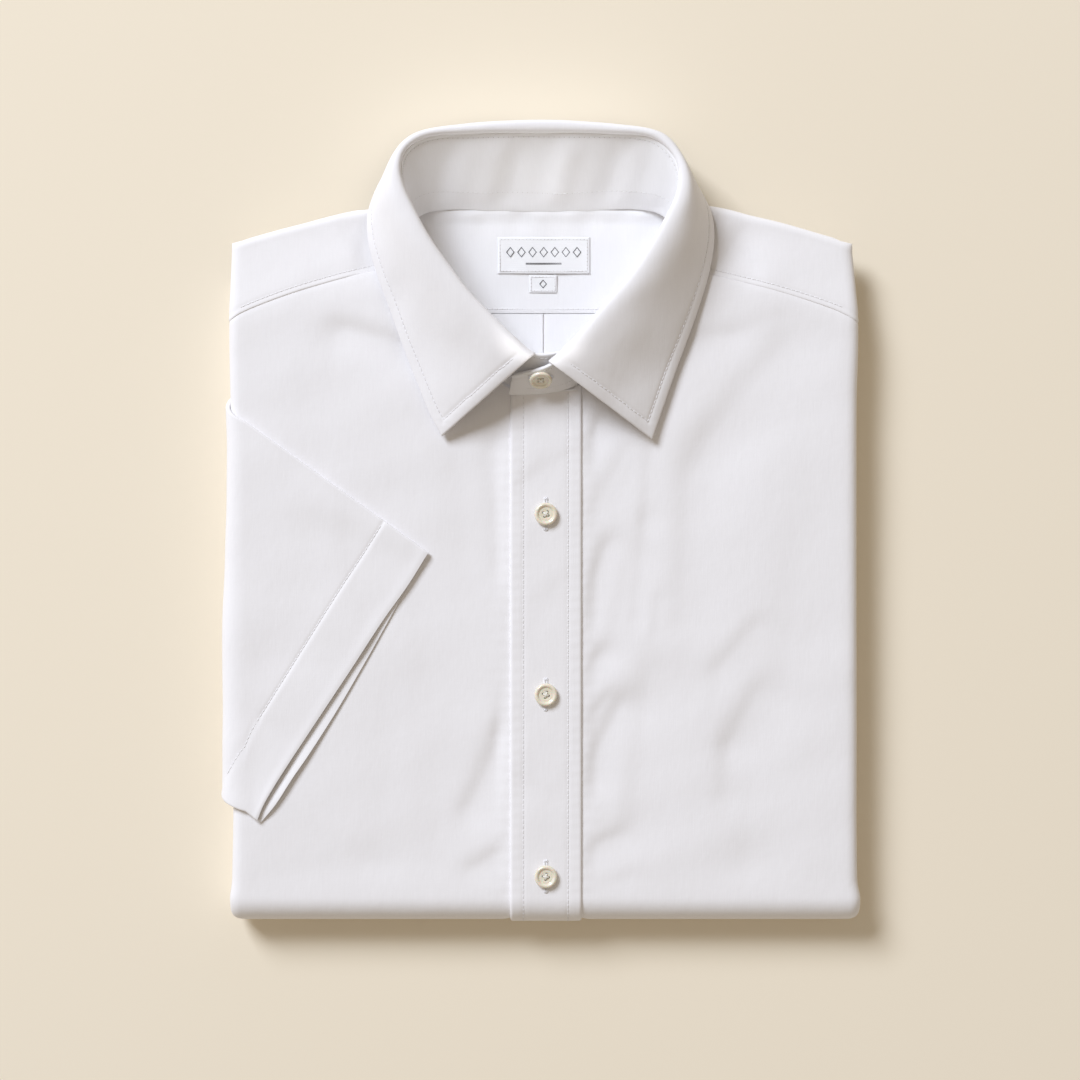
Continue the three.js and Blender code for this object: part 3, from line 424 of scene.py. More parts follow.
def cotton(name, colour):
    """Cotton poplin, plain weave, washed and pressed: matt, with a short soft nap that lifts the
    grazing edges, and faint streaks where thicker yarns run along the cloth."""
    material, tree, principled = shader(
        name, Roughness=0.92, IOR=1.46, Sheen_Weight=0.12, Sheen_Roughness=0.6, Specular_IOR_Level=0.25)
    place = node(tree, "ShaderNodeTexCoord")
    # Poplin has about 0.2 mm between yarns, too fine to show, so the thicker ones are drawn:
    # 0.6 mm by 9 mm along the cloth and 0.7 mm by 6 mm across it. The handling is about 20 mm wide.
    layers = {}
    for part, scale, detail, roughness in (
        ("along", (1700, 110, 300), 2.0, 0.6), ("across", (170, 1500, 300), 1.0, 0.5),
        ("handling", (70, 45, 60), 3.0, 0.55),
    ):
        space = node(tree, "ShaderNodeMapping", inputs={"Scale": scale}, links={"Vector": (place, "Object")})
        layers[part] = node(tree, "ShaderNodeTexNoise", links={"Vector": (space, "Vector")},
                            inputs={"Scale": 1.0, "Detail": detail, "Roughness": roughness})
    weave = node(tree, "ShaderNodeMath", {"operation": "MULTIPLY_ADD"}, {1: 0.55},
                 {0: (layers["across"], "Fac"), 2: (layers["along"], "Fac")})
    threads = node(tree, "ShaderNodeBump", inputs={"Strength": 0.35, "Distance": 0.00012},
                   links={"Height": (weave, "Value")})
    rumple = node(tree, "ShaderNodeBump", inputs={"Strength": 0.5, "Distance": 0.0006},
                  links={"Height": (layers["handling"], "Fac"), "Normal": (threads, "Normal")})
    tint = node(tree, "ShaderNodeMixRGB", {"blend_type": "MIX"},
                {"Color1": linear(colour), "Color2": linear([c * 0.975 for c in colour])},
                {"Fac": (layers["along"], "Fac")})
    tree.links.new(tint.outputs["Color"], principled.inputs["Base Color"])
    tree.links.new(rumple.outputs["Normal"], principled.inputs["Normal"])
    return material


def thread_material(name, colour):
    """Spun polyester sewing thread: a little brighter and smoother than the cloth that it holds."""
    material, _, _ = shader(name, Base_Color=linear(colour), Roughness=0.7, IOR=1.5, Sheen_Weight=0.1)
    return material


def satin_ribbon(name, colour):
    """Woven polyester satin label: fine rows across it, and a soft shine along them."""
    material, tree, principled = shader(name, Base_Color=linear(colour), Roughness=0.55, IOR=1.5,
                                        Sheen_Weight=0.15)
    place = node(tree, "ShaderNodeTexCoord")
    # Label rows are 0.25 mm apart; drawn at 0.5 mm.
    rows = node(tree, "ShaderNodeTexWave", {"bands_direction": "Y"}, {"Scale": 300.0, "Distortion": 0.4},
                {"Vector": (place, "Object")})
    bump = node(tree, "ShaderNodeBump", inputs={"Strength": 0.25, "Distance": 0.0001},
                links={"Height": (rows, "Fac")})
    tree.links.new(bump.outputs["Normal"], principled.inputs["Normal"])
    return material


def polyester_button(name, colour):
    """Cast polyester button with a pearl finish: cream, glossy, with soft cloudy bands in it."""
    material, tree, principled = shader(name, Roughness=0.22, IOR=1.55, Coat_Weight=0.4,
                                        Coat_Roughness=0.1, Subsurface_Weight=0.15,
                                        Subsurface_Scale=0.002)
    place = node(tree, "ShaderNodeTexCoord")
    clouds = node(tree, "ShaderNodeTexNoise", inputs={"Scale": 330.0, "Detail": 3.0, "Distortion": 1.2},
                  links={"Vector": (place, "Object")})
    cloudy = [c * share for c, share in zip(colour, (0.93, 0.9, 0.84))]
    tint = node(tree, "ShaderNodeMixRGB", {"blend_type": "MIX"},
                {"Color1": linear(colour), "Color2": linear(cloudy)}, {"Fac": (clouds, "Fac")})
    tree.links.new(tint.outputs["Color"], principled.inputs["Base Color"])
    return material


def paper_floor(name, colour):
    """Painted board: matt and even, with a very fine grain."""
    material, tree, principled = shader(
        name, Base_Color=linear(colour), Roughness=0.9, Specular_IOR_Level=0.2)
    place = node(tree, "ShaderNodeTexCoord")
    grain = node(tree, "ShaderNodeTexNoise", inputs={"Scale": 900.0, "Detail": 3.0},
                 links={"Vector": (place, "Object")})
    bump = node(tree, "ShaderNodeBump", inputs={"Strength": 0.1, "Distance": 0.0001},
                links={"Height": (grain, "Fac")})
    tree.links.new(bump.outputs["Normal"], principled.inputs["Normal"])
    return material


FINISHES = {
    "shirting": (cotton, "cotton_poplin", "cloth"),
    "shirting_inside": (cotton, "cotton_poplin_inside", "cloth_inside"),
    "thread": (thread_material, "polyester_thread", "thread"),
    "button_thread": (thread_material, "button_thread", "button_thread"),
    # Needle holes: their grey is painted shade of the pits between the stitches, on the thread material.
    "hole": (thread_material, "needle_hole_shade", "hole"),
    "label": (satin_ribbon, "satin_label", "label"),
    "label_yarn": (thread_material, "label_yarn", "label_yarn"),
    "button": (polyester_button, "cast_polyester_button", "button"),
    "floor": (paper_floor, "painted_board", "floor"),
}
_materials = {}


def finish_for(kind):
    """The material of a kind, made once, in the colours of the panel."""
    if kind not in _materials:
        maker, name, colour = FINISHES[kind]
        _materials[kind] = maker(name, getattr(bpy.context.scene.shirt_colours, colour)[:])
    return _materials[kind]


# ---- pieces ----


def front_top(x):
    """The upper edge of the fronts: the yoke's seam, or the neck's where that lies lower."""
    made = yoke_seam(x) - SEAT / 2
    for side in (-1, 1):
        places = sorted(seam[:2] for seam, *_ in COLLAR[LEAF_FIRST:LEAF_LAST + 1]
                        if seam[0] * side > 0 and seam[1] < NECK_WIDEST_Y)
        neck = dict(zip("xy", zip(*places)))
        inside = (x * side >= 0) & (np.abs(x) <= np.abs([neck["x"][0], neck["x"][-1]]).max())
        made = np.where(inside, np.minimum(made, read(neck, "x", "y", x)), made)
    return made


# Degrees round a side fold: under 0 below the package's middle, 90 on its flat face.
SIDE_TURNS = np.array([
    -75, -66, -57, -48, -40, -31, -22, -14, -7, 0, 8, 16, 24, 32, 39, 46, 54, 61, 68, 76, 83], float)
UNDER_ROWS, HEM_ROWS, FLAT_ROWS = 40, 25, 185


def side_grid(side, flats, rows_of):
    """Columns of a grid that starts round a side fold and goes on over the flat."""
    turns = np.concatenate([SIDE_TURNS, np.full(len(flats), 90.0)])
    xs = np.concatenate([np.full(len(SIDE_TURNS), np.nan), flats])
    sides = np.where(np.isnan(xs), side, 1.0)
    if side > 0:
        turns, xs, sides = turns[::-1], xs[::-1], sides[::-1]
    reach = np.where(np.isnan(xs), reach_x(sides, turns, flat_end(sides, YOKE_BACK_SEAM_Y)), xs)
    y, hem, shoulder = rows_of(reach)
    x = np.where(np.isnan(xs)[None, :], flat_end(np.full_like(y, side), y), np.nan_to_num(xs)[None, :])
    return x, y, hem, shoulder, np.broadcast_to(sides, y.shape), np.broadcast_to(turns, y.shape)


def package_rows(top):
    """Rows from the hidden lower end, under the package and round the bottom fold, up to top."""
    def rows_of(reach):
        far_end = shoulder_fold(reach) - UNDER_INSET
        under = mix(far_end[None, :], HEM_AXIS_Y, np.linspace(0, 1, UNDER_ROWS)[:, None])
        hem_turns = np.linspace(180, 0, HEM_ROWS)[1:-1]
        turned = np.full((len(hem_turns), len(reach)), HEM_AXIS_Y)
        flat = mix(HEM_AXIS_Y, top(reach)[None, :], np.linspace(0, 1, FLAT_ROWS)[:, None])
        y = np.concatenate([under, turned, flat])
        hem = np.concatenate([np.full(len(under), 180.0), hem_turns, np.zeros(len(flat))])
        return y, np.broadcast_to(hem[:, None], y.shape), None
    return rows_of


def pressed(hem):
    return PLACKET_OUT * smoothstep(hem, PRESSED_FROM, PRESSED_TO)


def seam_roll(distance, depth, width):
    """The turned edge of a piece: full at its inside, rounding down to its edge."""
    return -depth * (1 - np.sqrt(np.clip(1 - (1 - np.clip(distance / width, 0, 1)) ** 2, 0, 1)))


PUCKER = 0.07


def front_cloth(name, side, flats, node_name):
    ply = bpy.context.scene.shirt_sizes.cloth
    x, y, hem, _, sides, turns = side_grid(side, flats, package_rows(front_top))
    beside = np.abs(x - PLACKET_MIDDLE) - PLACKET_HALF - SEAT
    out = -pressed(hem) * (1 - smoothstep(beside, 0, PRESS_RAMP))
    top_gap = front_top(np.where(turns < 90, reach_x(sides, turns, x), x)) - y
    near_seam = (hem == 0) & (turns > 0)
    out = out + np.where(near_seam, seam_roll(top_gap, 0.25, 0.9), 0)
    # The placket's rows of stitches draw the cloth beside them into small puckers.
    pucker = PUCKER * np.sin(y * 2 * math.pi / 6.5 + 1.3 * np.sin(y / 17))
    out = out + np.where(hem < 90, pucker * np.exp(-np.clip(beside, 0, None) / 5), 0)
    outer = face(x, y, out, sides, turns, hem)
    inner = face(x, y, out - ply, sides, turns, hem)
    piece = shell(name, outer, inner, finish_for("shirting"))
    settle(piece, "shirting", node_name)
    return piece


def fine(start, stop, step):
    return np.linspace(start, stop, max(int(round(abs(stop - start) / step)), 1) + 1)


def make_fronts():
    flats = np.concatenate([fine(-146.5, PLACKET_LEFT - 4, 1.7), [-17.8, -16.2, -15.0, -12.0]])
    right = front_cloth("front_right_cloth", -1, flats, "front_right")
    flats = np.concatenate([fine(150.0, PLACKET_RIGHT + 4, 1.7), [22.4, 20.8, 19.6, 17.4]])
    left = front_cloth("front_left_cloth", 1, flats, "front_left")


PLACKET_STITCH = (-9.0, 13.3)
PLACKET_CREASES = [(13, 34, -8, 21, 4, 0.35), (16, -26, 2, -38, 5, 0.25), (-12, -128, 6, -136, 4, 0.2)]
PLACKET_INSETS = np.array([0, 0.2, 0.5, 0.9, 1.4, 2.4, 4, 5.4, 6.1, 6.7, 7.3, 8.2, 9.6, 11.5, 14])


def placket_out(x, y, hem):
    edge = np.minimum(x - PLACKET_LEFT, PLACKET_RIGHT - x)
    out = PLACKET_OUT - pressed(hem) + seam_roll(edge, 0.95, 1.3)
    groove = sum(np.exp(-(((x - line) / 0.7) ** 2)) for line in PLACKET_STITCH)
    ripple = np.sin(y * 2 * math.pi / 5.6 + 2.2 * np.sin(y / 23)) * np.exp(-np.abs(edge - 3) / 2.5)
    creases = trough_sum(x, y, PLACKET_CREASES)
    uneven = 0.08 * waves(x, y, 9, 60, 18, 8)
    return out - np.where(hem < 60, 0.22 * groove - 0.07 * ripple + creases - uneven, 0)


def make_placket():
    ply = bpy.context.scene.shirt_sizes.cloth
    flats = np.concatenate([PLACKET_LEFT + PLACKET_INSETS, [PLACKET_MIDDLE],
                            (PLACKET_RIGHT - PLACKET_INSETS)[::-1]])
    y, hem, _ = package_rows(lambda reach: np.full_like(reach, PLACKET_TOP))(flats)
    x = np.broadcast_to(flats, y.shape)
    out = placket_out(x, y, hem)
    outer, inner = face(x, y, out, hem=hem), face(x, y, out - ply, hem=hem)
    piece = shell("placket_band", outer, inner, finish_for("shirting"))
    settle(piece, "shirting", "placket")


YOKE_OVER = 0.25  # the yoke's edge reaches this far over the fronts' seam line
YOKE_STITCH = 2.5  # from the seam to the row of stitches
# The yoke is pushed into soft dents where the collar is folded down on it.
YOKE_CREASES = [
    (-90, 129, -86, 158, 5, 0.9), (-104, 140, -118, 143, 6, 0.3),
    (87, 127, 99, 144, 5, 1.1), (104, 120, 122, 118, 6, 0.25),
]


FLOOR_OVER = 3.2  # the neck's floor goes on this far outside the collar's seam
FACING = {"rows": 6, "outside": 2.2, "half": 0.35, "below": 0.6, "under_seam": 0.4}


def yoke_rows(reach):
    """Rows from the yoke's front seam, over the flat and round the shoulder fold."""
    seam, fold = yoke_seam(reach) - YOKE_OVER, shoulder_fold(reach) - SHOULDER_ROUND
    share = np.concatenate([[0, 0.008, 0.02, 0.035, 0.06], np.linspace(0.09, 1, 24)])
    round_it = np.linspace(84, -80, 26)
    y = np.concatenate([mix(seam, fold, share[:, None]), np.repeat(fold[None, :], len(round_it), 0)])
    shoulder = np.concatenate([np.full(len(share), 90.0), round_it])
    return y, 0.0, np.broadcast_to(shoulder[:, None], y.shape)


def make_yoke():
    ply = bpy.context.scene.shirt_sizes.cloth
    flats, middle = fine(-146.5, -NECK_HALF, 2), fine(-NECK_HALF, NECK_HALF, 4)[1:-1]
    y, _, shoulder = yoke_rows(middle)
    x = np.broadcast_to(middle, y.shape)
    parts = [side_grid(-1, flats, yoke_rows),
             (x, y, x, shoulder, np.ones_like(x), np.full(x.shape, 90.0)),
             side_grid(1, -flats, yoke_rows)]
    x, y, shoulder, sides, turns = (np.concatenate([part[k] for part in parts], 1) for k in (0, 1, 3, 4, 5))
    seam_gap = y - yoke_seam(np.where(turns < 90, reach_x(sides, turns, x), x)) + YOKE_OVER
    groove = np.exp(-(((seam_gap - YOKE_STITCH - SEAT / 2 - YOKE_OVER) / 0.6) ** 2))
    lift = 0.2 * (1 - smoothstep(seam_gap, 3, 16)) + seam_roll(seam_gap, 0.4, 0.9) - 0.2 * groove
    out = np.where(turns > -10, lift - trough_sum(x, y, YOKE_CREASES), 0)
    outer = face(x, y, out, sides, turns, shoulder=shoulder)
    inner = face(x, y, out - ply, sides, turns, shoulder=shoulder)
    # The cloth goes round the side only in front of the fold, and behind it lies between the sides.
    cell_turn, cell_shoulder = np.minimum(turns[:-1, :-1], turns[:-1, 1:]), shoulder[1:, :-1]
    cell_middle = np.abs((x[:-1, :-1] + x[:-1, 1:]) / 2)
    keep = np.where(cell_shoulder < 0, cell_turn >= 40, cell_turn >= np.where(cell_shoulder >= 89, -25, 0))
    at_neck = (cell_middle < NECK_HALF) & (cell_turn == 90)
    keep = np.where(at_neck, (cell_shoulder < -22) & (cell_shoulder > -60), keep)
    piece = shell("yoke_outer_cloth", outer, inner, finish_for("shirting"), keep=keep)
    settle(piece, "shirting", "yoke_outer")


def neck_width(y):
    """The two sides of the neck's floor, a little outside the collar's seam."""
    sides = []
    for side in (-1, 1):
        rows = []
        for seam, *_ in COLLAR[2:-2]:
            away = np.array([seam[0], seam[1] - NECK_CENTRE_Y])
            away = away * (1 + FLOOR_OVER / np.linalg.norm(away))
            if away[0] * side > 8 and away[1] + NECK_CENTRE_Y < NECK_WIDEST_Y:
                rows.append((away[1] + NECK_CENTRE_Y, away[0]))
        table = dict(zip("yx", zip(*sorted(rows))))
        sides.append(np.clip(read(table, "y", "x", y), 1 - NECK_HALF, NECK_HALF - 1))
    return sides


def neck_sheet(name, y_from, y_to, relief, node_name):
    ply = bpy.context.scene.shirt_sizes.cloth
    # The columns are closer beside the centre pleat.
    shares = np.unique(np.concatenate([np.linspace(0, 1, 101), np.linspace(0.47, 0.54, 57)]))
    y = mix(y_from, y_to, np.linspace(0, 1, 45))[:, None] * np.ones_like(shares)
    x = mix(*neck_width(y), shares[None, :])
    outer = np.stack([x, y, NECK_FLOOR + SEAT + NECK_PLY + relief(x, y)], -1)
    piece = shell(name, outer, outer - ply * UP, finish_for("shirting_inside"))
    settle(piece, "shirting_inside", node_name)


def yoke_inner_relief(x, y):
    folds = (np.cos((x + 35) * 2 * math.pi / 43)
             + 0.6 * np.cos((x + 4) * 2 * math.pi / 17 + 0.6 * np.sin(y / 9)))
    wrinkle = 0.45 * folds * smoothstep(y, 139, 156) * (1 - 0.7 * smoothstep(y, 155, 158))
    edge = 1.3 * smoothstep(y, 151, 158) + seam_roll(y - YOKE_BACK_SEAM_Y, 0.5, 1.0)
    return edge + wrinkle + 0.1 * waves(x, y, 21, 50, 18, 8)


def back_relief(x, y):
    past = x - PLEAT_X
    pleat = np.where(past < 0, 0.3 * np.exp(past / 4), -0.75 * np.exp(-past / 1.3))
    return pleat - 0.15 + 0.08 * waves(x, y, 22, 40, 15, 8)


def make_neck_facing():
    """The fronts' neck edge turned down inside the collar seam, on each side of the placket."""
    for side, first, last in (("right", 0.0, 9.6), ("left", len(COLLAR) - 1.2, 16.6)):
        seam = seam_at(np.linspace(first, last, 70))
        away = unit((seam - NECK_CENTRE_Y * ALONG) * (1, 1, 0))
        share = np.linspace(0, 1, FACING["rows"])[:, None]
        middle = np.repeat((seam + away * FACING["outside"])[None], FACING["rows"], 0)
        middle[..., 2] = mix(NECK_FLOOR - FACING["below"], seam[None, :, 2] - FACING["under_seam"], share)
        half = away * FACING["half"] * (1 if first < last else -1)
        piece = shell(f"neck_facing_{side}", middle + half, middle - half, finish_for("shirting_inside"))
        settle(piece, "shirting_inside")


def make_neck_floor():
    seam = YOKE_BACK_SEAM_Y
    neck_sheet("yoke_inner_cloth", seam + SEAT / 2, 158.2, yoke_inner_relief, "yoke_inner")
    neck_sheet("back_cloth", 67.5, seam - SEAT / 2, back_relief, "back")


def curve_at(points, places):
    """A centripetal curve through the points, at places counted in points."""
    points = np.asarray(points, float)
    places = np.clip(places, 0, len(points) - 1)
    k = np.minimum(places.astype(int), len(points) - 2)
    share = (places - k)[..., None]
    ends = np.concatenate([[2 * points[0] - points[1]], points, [2 * points[-1] - points[-2]]])
    p0, p1, p2, p3 = ends[k], ends[k + 1], ends[k + 2], ends[k + 3]

    def gap(a, b):
        return np.maximum(np.linalg.norm(b - a, axis=-1, keepdims=True) ** 0.5, 1e-4)

    d0, d1, d2 = gap(p0, p1), gap(p1, p2), gap(p2, p3)
    t1 = ((p1 - p0) / d0 - (p2 - p0) / (d0 + d1) + (p2 - p1) / d1) * d1
    t2 = ((p2 - p1) / d1 - (p3 - p1) / (d1 + d2) + (p3 - p2) / d2) * d1
    return (p1 + t1 * share + (-3 * p1 + 3 * p2 - 2 * t1 - t2) * share**2
            + (2 * p1 - 2 * p2 + t1 + t2) * share**3)


def seam_at(stations):
    return curve_at([s[0] for s in COLLAR], stations)


def top_at(stations):
    return curve_at([s[1] for s in COLLAR], stations)


def edge_at(stations):
    return curve_at([s[2] for s in COLLAR[LEAF_FIRST:LEAF_LAST + 1]], stations - LEAF_FIRST)


def stand_surface(stations, share):
    """The stand's middle surface, its outward direction and the way up it."""
    stations, share = np.broadcast_arrays(stations, share)
    here = mix(seam_at(stations), top_at(stations), share[..., None])
    step = 0.05
    ahead = mix(seam_at(stations + step), top_at(stations + step), share[..., None])
    behind = mix(seam_at(stations - step), top_at(stations - step), share[..., None])
    up = unit(top_at(stations) - seam_at(stations))
    outward = unit(np.cross(up, unit(ahead - behind)))
    table = {"i": list(range(len(COLLAR))), "lap": [s[3] for s in COLLAR]}
    lapped = read(table, "i", "lap", stations) * (STAND_PLY + SEAT) * 0.55
    return here + outward * lapped[..., None], outward, up


# Rows of stitches: how far from the seam at the front and at the back, and from the top.
STAND_STITCH = {"front": 3.0, "back": 9.0, "top": 2.3}
STAND_NEAR_SEAM = np.array([-1.5, -1.2, -0.8, -0.2, 0.6, 1.6, 2.2, 2.8, 3.4, 4.2])
STAND_NEAR_TOP = np.array([5.2, 4.2, 3.5, 2.9, 2.3, 1.5, 0.9, 0.4, 0.15, 0.0])


def stand_stitch_shares(stations):
    """Where the two rows of stitches run on the stand."""
    seam = seam_at(stations)
    height = np.linalg.norm(top_at(stations) - seam, axis=-1)
    low = mix(STAND_STITCH["front"], STAND_STITCH["back"], smoothstep(seam[..., 1], 100, 150))
    return low / height, 1 - STAND_STITCH["top"] / height


def stand_ripple(x, y, share):
    """Soft folds down the back of the stand, deeper towards the neck seam."""
    at_back = smoothstep(y, 150, 166) * (1 - 0.75 * smoothstep(share, 0.7, 1.0))
    lean = x - 9 * share
    folds = np.sin((lean + 45.5) * 2 * math.pi / 43) + 0.3 * np.cos((lean - 6) * 2 * math.pi / 17)
    return 0.95 * at_back * (0.3 + 0.7 * smoothstep(share, 0, 0.25)) * folds


def make_stand():
    stations = np.linspace(0, len(COLLAR) - 1, (len(COLLAR) - 1) * 10 + 1)
    height = np.linalg.norm(top_at(stations) - seam_at(stations), axis=-1)[None, :]
    from_seam = STAND_NEAR_SEAM[:, None] / height
    from_top = 1 - STAND_NEAR_TOP[:, None] / height
    between = mix(from_seam[-1], from_top[0], np.linspace(0, 1, 14)[1:-1, None])
    shares = np.concatenate([from_seam, between, from_top])
    middle, outward, _ = stand_surface(np.broadcast_to(stations[None, :], shares.shape), shares)
    ends = np.minimum(stations, len(COLLAR) - 1 - stations)[None, :] * 9
    from_rim = np.minimum(np.minimum((1 - shares) * height, shares * height + 1.5), ends)
    groove = np.exp(-((((1 - shares) * height - STAND_STITCH["top"]) / 0.7) ** 2))
    thick = STAND_PLY / 2 + seam_roll(from_rim, 0.55, 1.0) - 0.18 * groove
    ripple = -stand_ripple(middle[..., 0], middle[..., 1], shares)
    outer = middle + outward * (thick + ripple)[..., None]
    inner = middle - outward * (thick - ripple)[..., None]
    piece = shell("collar_stand_cloth", outer, inner, finish_for("shirting_inside"), sharp=60)
    settle(piece, "shirting_inside", "collar_stand")


ROLL = {"out": 3.3, "up": 3.0, "steep": 2.6, "in": 2.4, "over": 2.6, "over_share": 0.22, "over_most": 10.0}
FALL_SHARE, FALL_SLACK = 0.36, 1.5


def bezier(a, b, c, d, t):
    return a * (1 - t) ** 3 + 3 * b * (1 - t) ** 2 * t + 3 * c * (1 - t) * t**2 + d * t**3


def leaf_section(stations, along):
    """The leaf's middle: 0 at the stand, 1 at the crest of its roll, 2 at its outer edge."""
    top = top_at(stations)
    lean = unit(top - seam_at(stations))
    start = top + lean * SEAT
    end = edge_at(stations)
    out = end - start
    out[..., 2] = 0
    out = unit(out)
    crest = start + out * ROLL["out"] + UP * ROLL["up"]
    run = np.linalg.norm((end - crest)[..., :2], axis=-1, keepdims=True)
    over = np.minimum(ROLL["over"] + ROLL["over_share"] * run, ROLL["over_most"])
    t = np.clip(along, 0, 1)[..., None]
    rise = bezier(start, start + UP * ROLL["steep"], crest - out * ROLL["in"], crest, t)
    t = np.clip(along - 1, 0, 1)[..., None]
    fall = bezier(crest, crest + out * over, mix(end, crest, FALL_SHARE) + UP * FALL_SLACK, end, t)
    return np.where(along[..., None] < 1, rise, fall)


LEAF_STITCH = 5.6  # from the leaf's edges to the row of stitches
LEAF_NEAR_ENDS = np.array([
    0, 0.02, 0.05, 0.09, 0.14, 0.2, 0.27, 0.33, 0.38, 0.42, 0.46, 0.5, 0.55, 0.62, 0.7, 0.8, 0.9])
LEAF_NEAR_EDGE = np.array([0, 0.3, 0.7, 1.2, 1.9, 2.8, 3.8, 4.7, 5.2, 5.6, 6.0, 6.5, 7.4, 8.6, 10])
# The front edges lean across the rows, so the distance square to them is a little less.
FRONT_LEAN = 0.93


def leaf_grid():
    """The leaf's middle surface on a grid whose rows keep a distance from its outer edge."""
    between = np.linspace(LEAF_FIRST + 1, LEAF_LAST - 1, (LEAF_LAST - LEAF_FIRST - 2) * 9 + 1)
    stations = np.concatenate([LEAF_FIRST + LEAF_NEAR_ENDS, between, (LEAF_LAST - LEAF_NEAR_ENDS)[::-1]])
    section = leaf_section(*np.broadcast_arrays(stations, np.linspace(0, 2, 161)[:, None]))
    far = np.cumsum(np.linalg.norm(np.diff(section, axis=0, prepend=section[:1]), axis=-1), axis=0)
    length = far[-1]
    rest = (length - LEAF_NEAR_EDGE[-1]) * (1 - np.linspace(0, 1, 34)[1:, None])
    wanted = np.concatenate([length - LEAF_NEAR_EDGE[:, None], rest])[::-1]
    grid = np.stack([np.stack([np.interp(wanted[:, i], far[:, i], section[:, i, k]) for k in range(3)], -1)
                     for i in range(len(stations))], 1)
    return grid, wanted, length - wanted


def front_edge_distance(grid):
    """How far each point of the leaf is from its two front edges, along its rows."""
    step = np.linalg.norm(np.diff(grid, axis=1), axis=-1)
    far = np.concatenate([np.zeros((grid.shape[0], 1)), np.cumsum(step, axis=1)], axis=1)
    return far, far[:, -1:] - far


def leaf_offsets(grid, wanted, edge):
    left, right = front_edge_distance(grid)
    near = np.minimum(edge, np.minimum(left, right) * FRONT_LEAN)
    groove = np.exp(-(((near - LEAF_STITCH) / 0.8) ** 2)) * smoothstep(wanted, 4, 9)
    puff = 0.18 * np.exp(-(((near - 2.6) / 1.8) ** 2))
    ripple = 0.06 * np.sin((left + edge) * 2 * math.pi / 5.2) * np.exp(-np.abs(near - 4) / 2)
    thick = LEAF_PLY / 2 + seam_roll(near, 0.5, 1.0) + puff - 0.28 * groove
    return thick, ripple


def make_leaf():
    grid, wanted, edge = leaf_grid()
    normal = -normals(grid)
    thick, ripple = leaf_offsets(grid, wanted, edge)
    open_share = smoothstep(wanted, 6, 20) * smoothstep(edge, 0, 12)
    uneven = 0.32 * waves(grid[..., 0], grid[..., 1], 31, 70, 24, 9) * open_share
    normal = normal * (np.sign(normal[-1, normal.shape[1] // 4, 2]) or 1)
    outer = grid + normal * (thick + ripple + uneven)[..., None]
    inner = grid - normal * (np.minimum(thick, LEAF_PLY / 2) - ripple - uneven)[..., None]
    piece = shell("collar_leaf_cloth", outer, inner, finish_for("shirting"), sharp=60)
    settle(piece, "shirting", "collar_leaf")
    return outer, edge


SLEEVE_TOP = {"cuff": (-56.5, -14.0), "fold_y": 52.0, "end_y": 66.0}
SLEEVE_LOW = {"cuff": (-141.0, -148.8), "fold_y": -143.4, "end_y": -131.0}
SLEEVE_LEAN = (0.8, -0.6)
SLEEVE_END_TURN = -56.0
SLEEVE_EDGE, SLEEVE_MOUTH = 2.2, 2.9
SLEEVE_BULGE = 3.4
# How far each ply's cuff edge lies outside the straight cuff, down the cuff.
SLEEVE_LOWER = {"share": (0, 0.12, 0.25, 0.38, 0.58, 0.74, 0.83, 0.93, 1),
                "out": (0, 0.2, 1.2, 2.2, 3.2, 3, 2.4, 2.2, 0.8)}
SLEEVE_UPPER = {"share": (0, 0.12, 0.25, 0.43, 0.63, 0.84, 0.95, 1),
                "out": (0, 0, -1.2, -1.7, -2.5, -3.2, -2.8, -1.5)}
SLEEVE_OPEN = {"share": (0, 0.3, 0.6, 0.85, 0.95, 1), "more": (0, 0, 0.25, 1, 0.7, 0)}
SLEEVE_LIP = 1.5  # how far the lower ply's cuff edge curls up where the cuff is open
SLEEVE_HEM = (27.5, -4.5)  # from the straight cuff to the row of stitches, and its change at the low end
SIDE_ARC = 0.155  # length of the folded side for each degree
SLEEVE_CREASES = [
    (-70, -20, -110, -2, 8, 0.5), (-96, -70, -118, -50, 7, 0.4), (-120, -112, -146, -96, 7, 0.5),
    (-130, 30, -112, 4, 9, -0.4), (-150, -20, -135, -60, 9, 0.4), (-96, -6, -88, -40, 6, 0.35),
]


def sleeve_point(share, angle, along, turn, inset, extra):
    """A point of the sleeve's flattened tube: across it, round its edges, along it, round the side."""
    run, rise = rounded(angle)
    swell = read(SLEEVE_OPEN, "share", "more", share) * (1 - smoothstep(along, 0, 0.8))
    half = mix(SLEEVE_EDGE, SLEEVE_MOUTH, swell) / 2
    lower, upper = (read(table, "share", "out", share) for table in (SLEEVE_LOWER, SLEEVE_UPPER))
    lap = np.where(rise < 0, lower, upper) * np.abs(rise) * (1 - along) ** 3
    wrapped = (90 - turn) / (90 - SLEEVE_END_TURN)
    bend = SLEEVE_EDGE / 2

    def edge(row):
        y = mix(mix(row["cuff"][1], row["fold_y"], along), row["end_y"], wrapped)
        x = mix(row["cuff"][0], flat_end(-1.0, row["fold_y"]), along)
        return np.stack([x + lap * SLEEVE_LEAN[0], y + lap * SLEEVE_LEAN[1]], -1)

    top, low = edge(SLEEVE_TOP), edge(SLEEVE_LOW)
    width = np.linalg.norm(top - low, axis=-1)
    across = bend + (width - 2 * bend) * share + (bend - inset) * run
    at = mix(top, low, (across / width)[..., None])
    height = SEAT + half + (half - inset) * rise + extra
    flat = face(at[..., 0], at[..., 1], height)
    round_side = face(flat_end(-1.0, at[..., 1]), at[..., 1], height, side=-1.0, turn=turn)
    round_side[..., 0] -= SLEEVE_BULGE * rounded(turn)[0] * smoothstep(-at[..., 1], -60, 60)
    return np.where((turn >= 90)[..., None], flat, round_side)


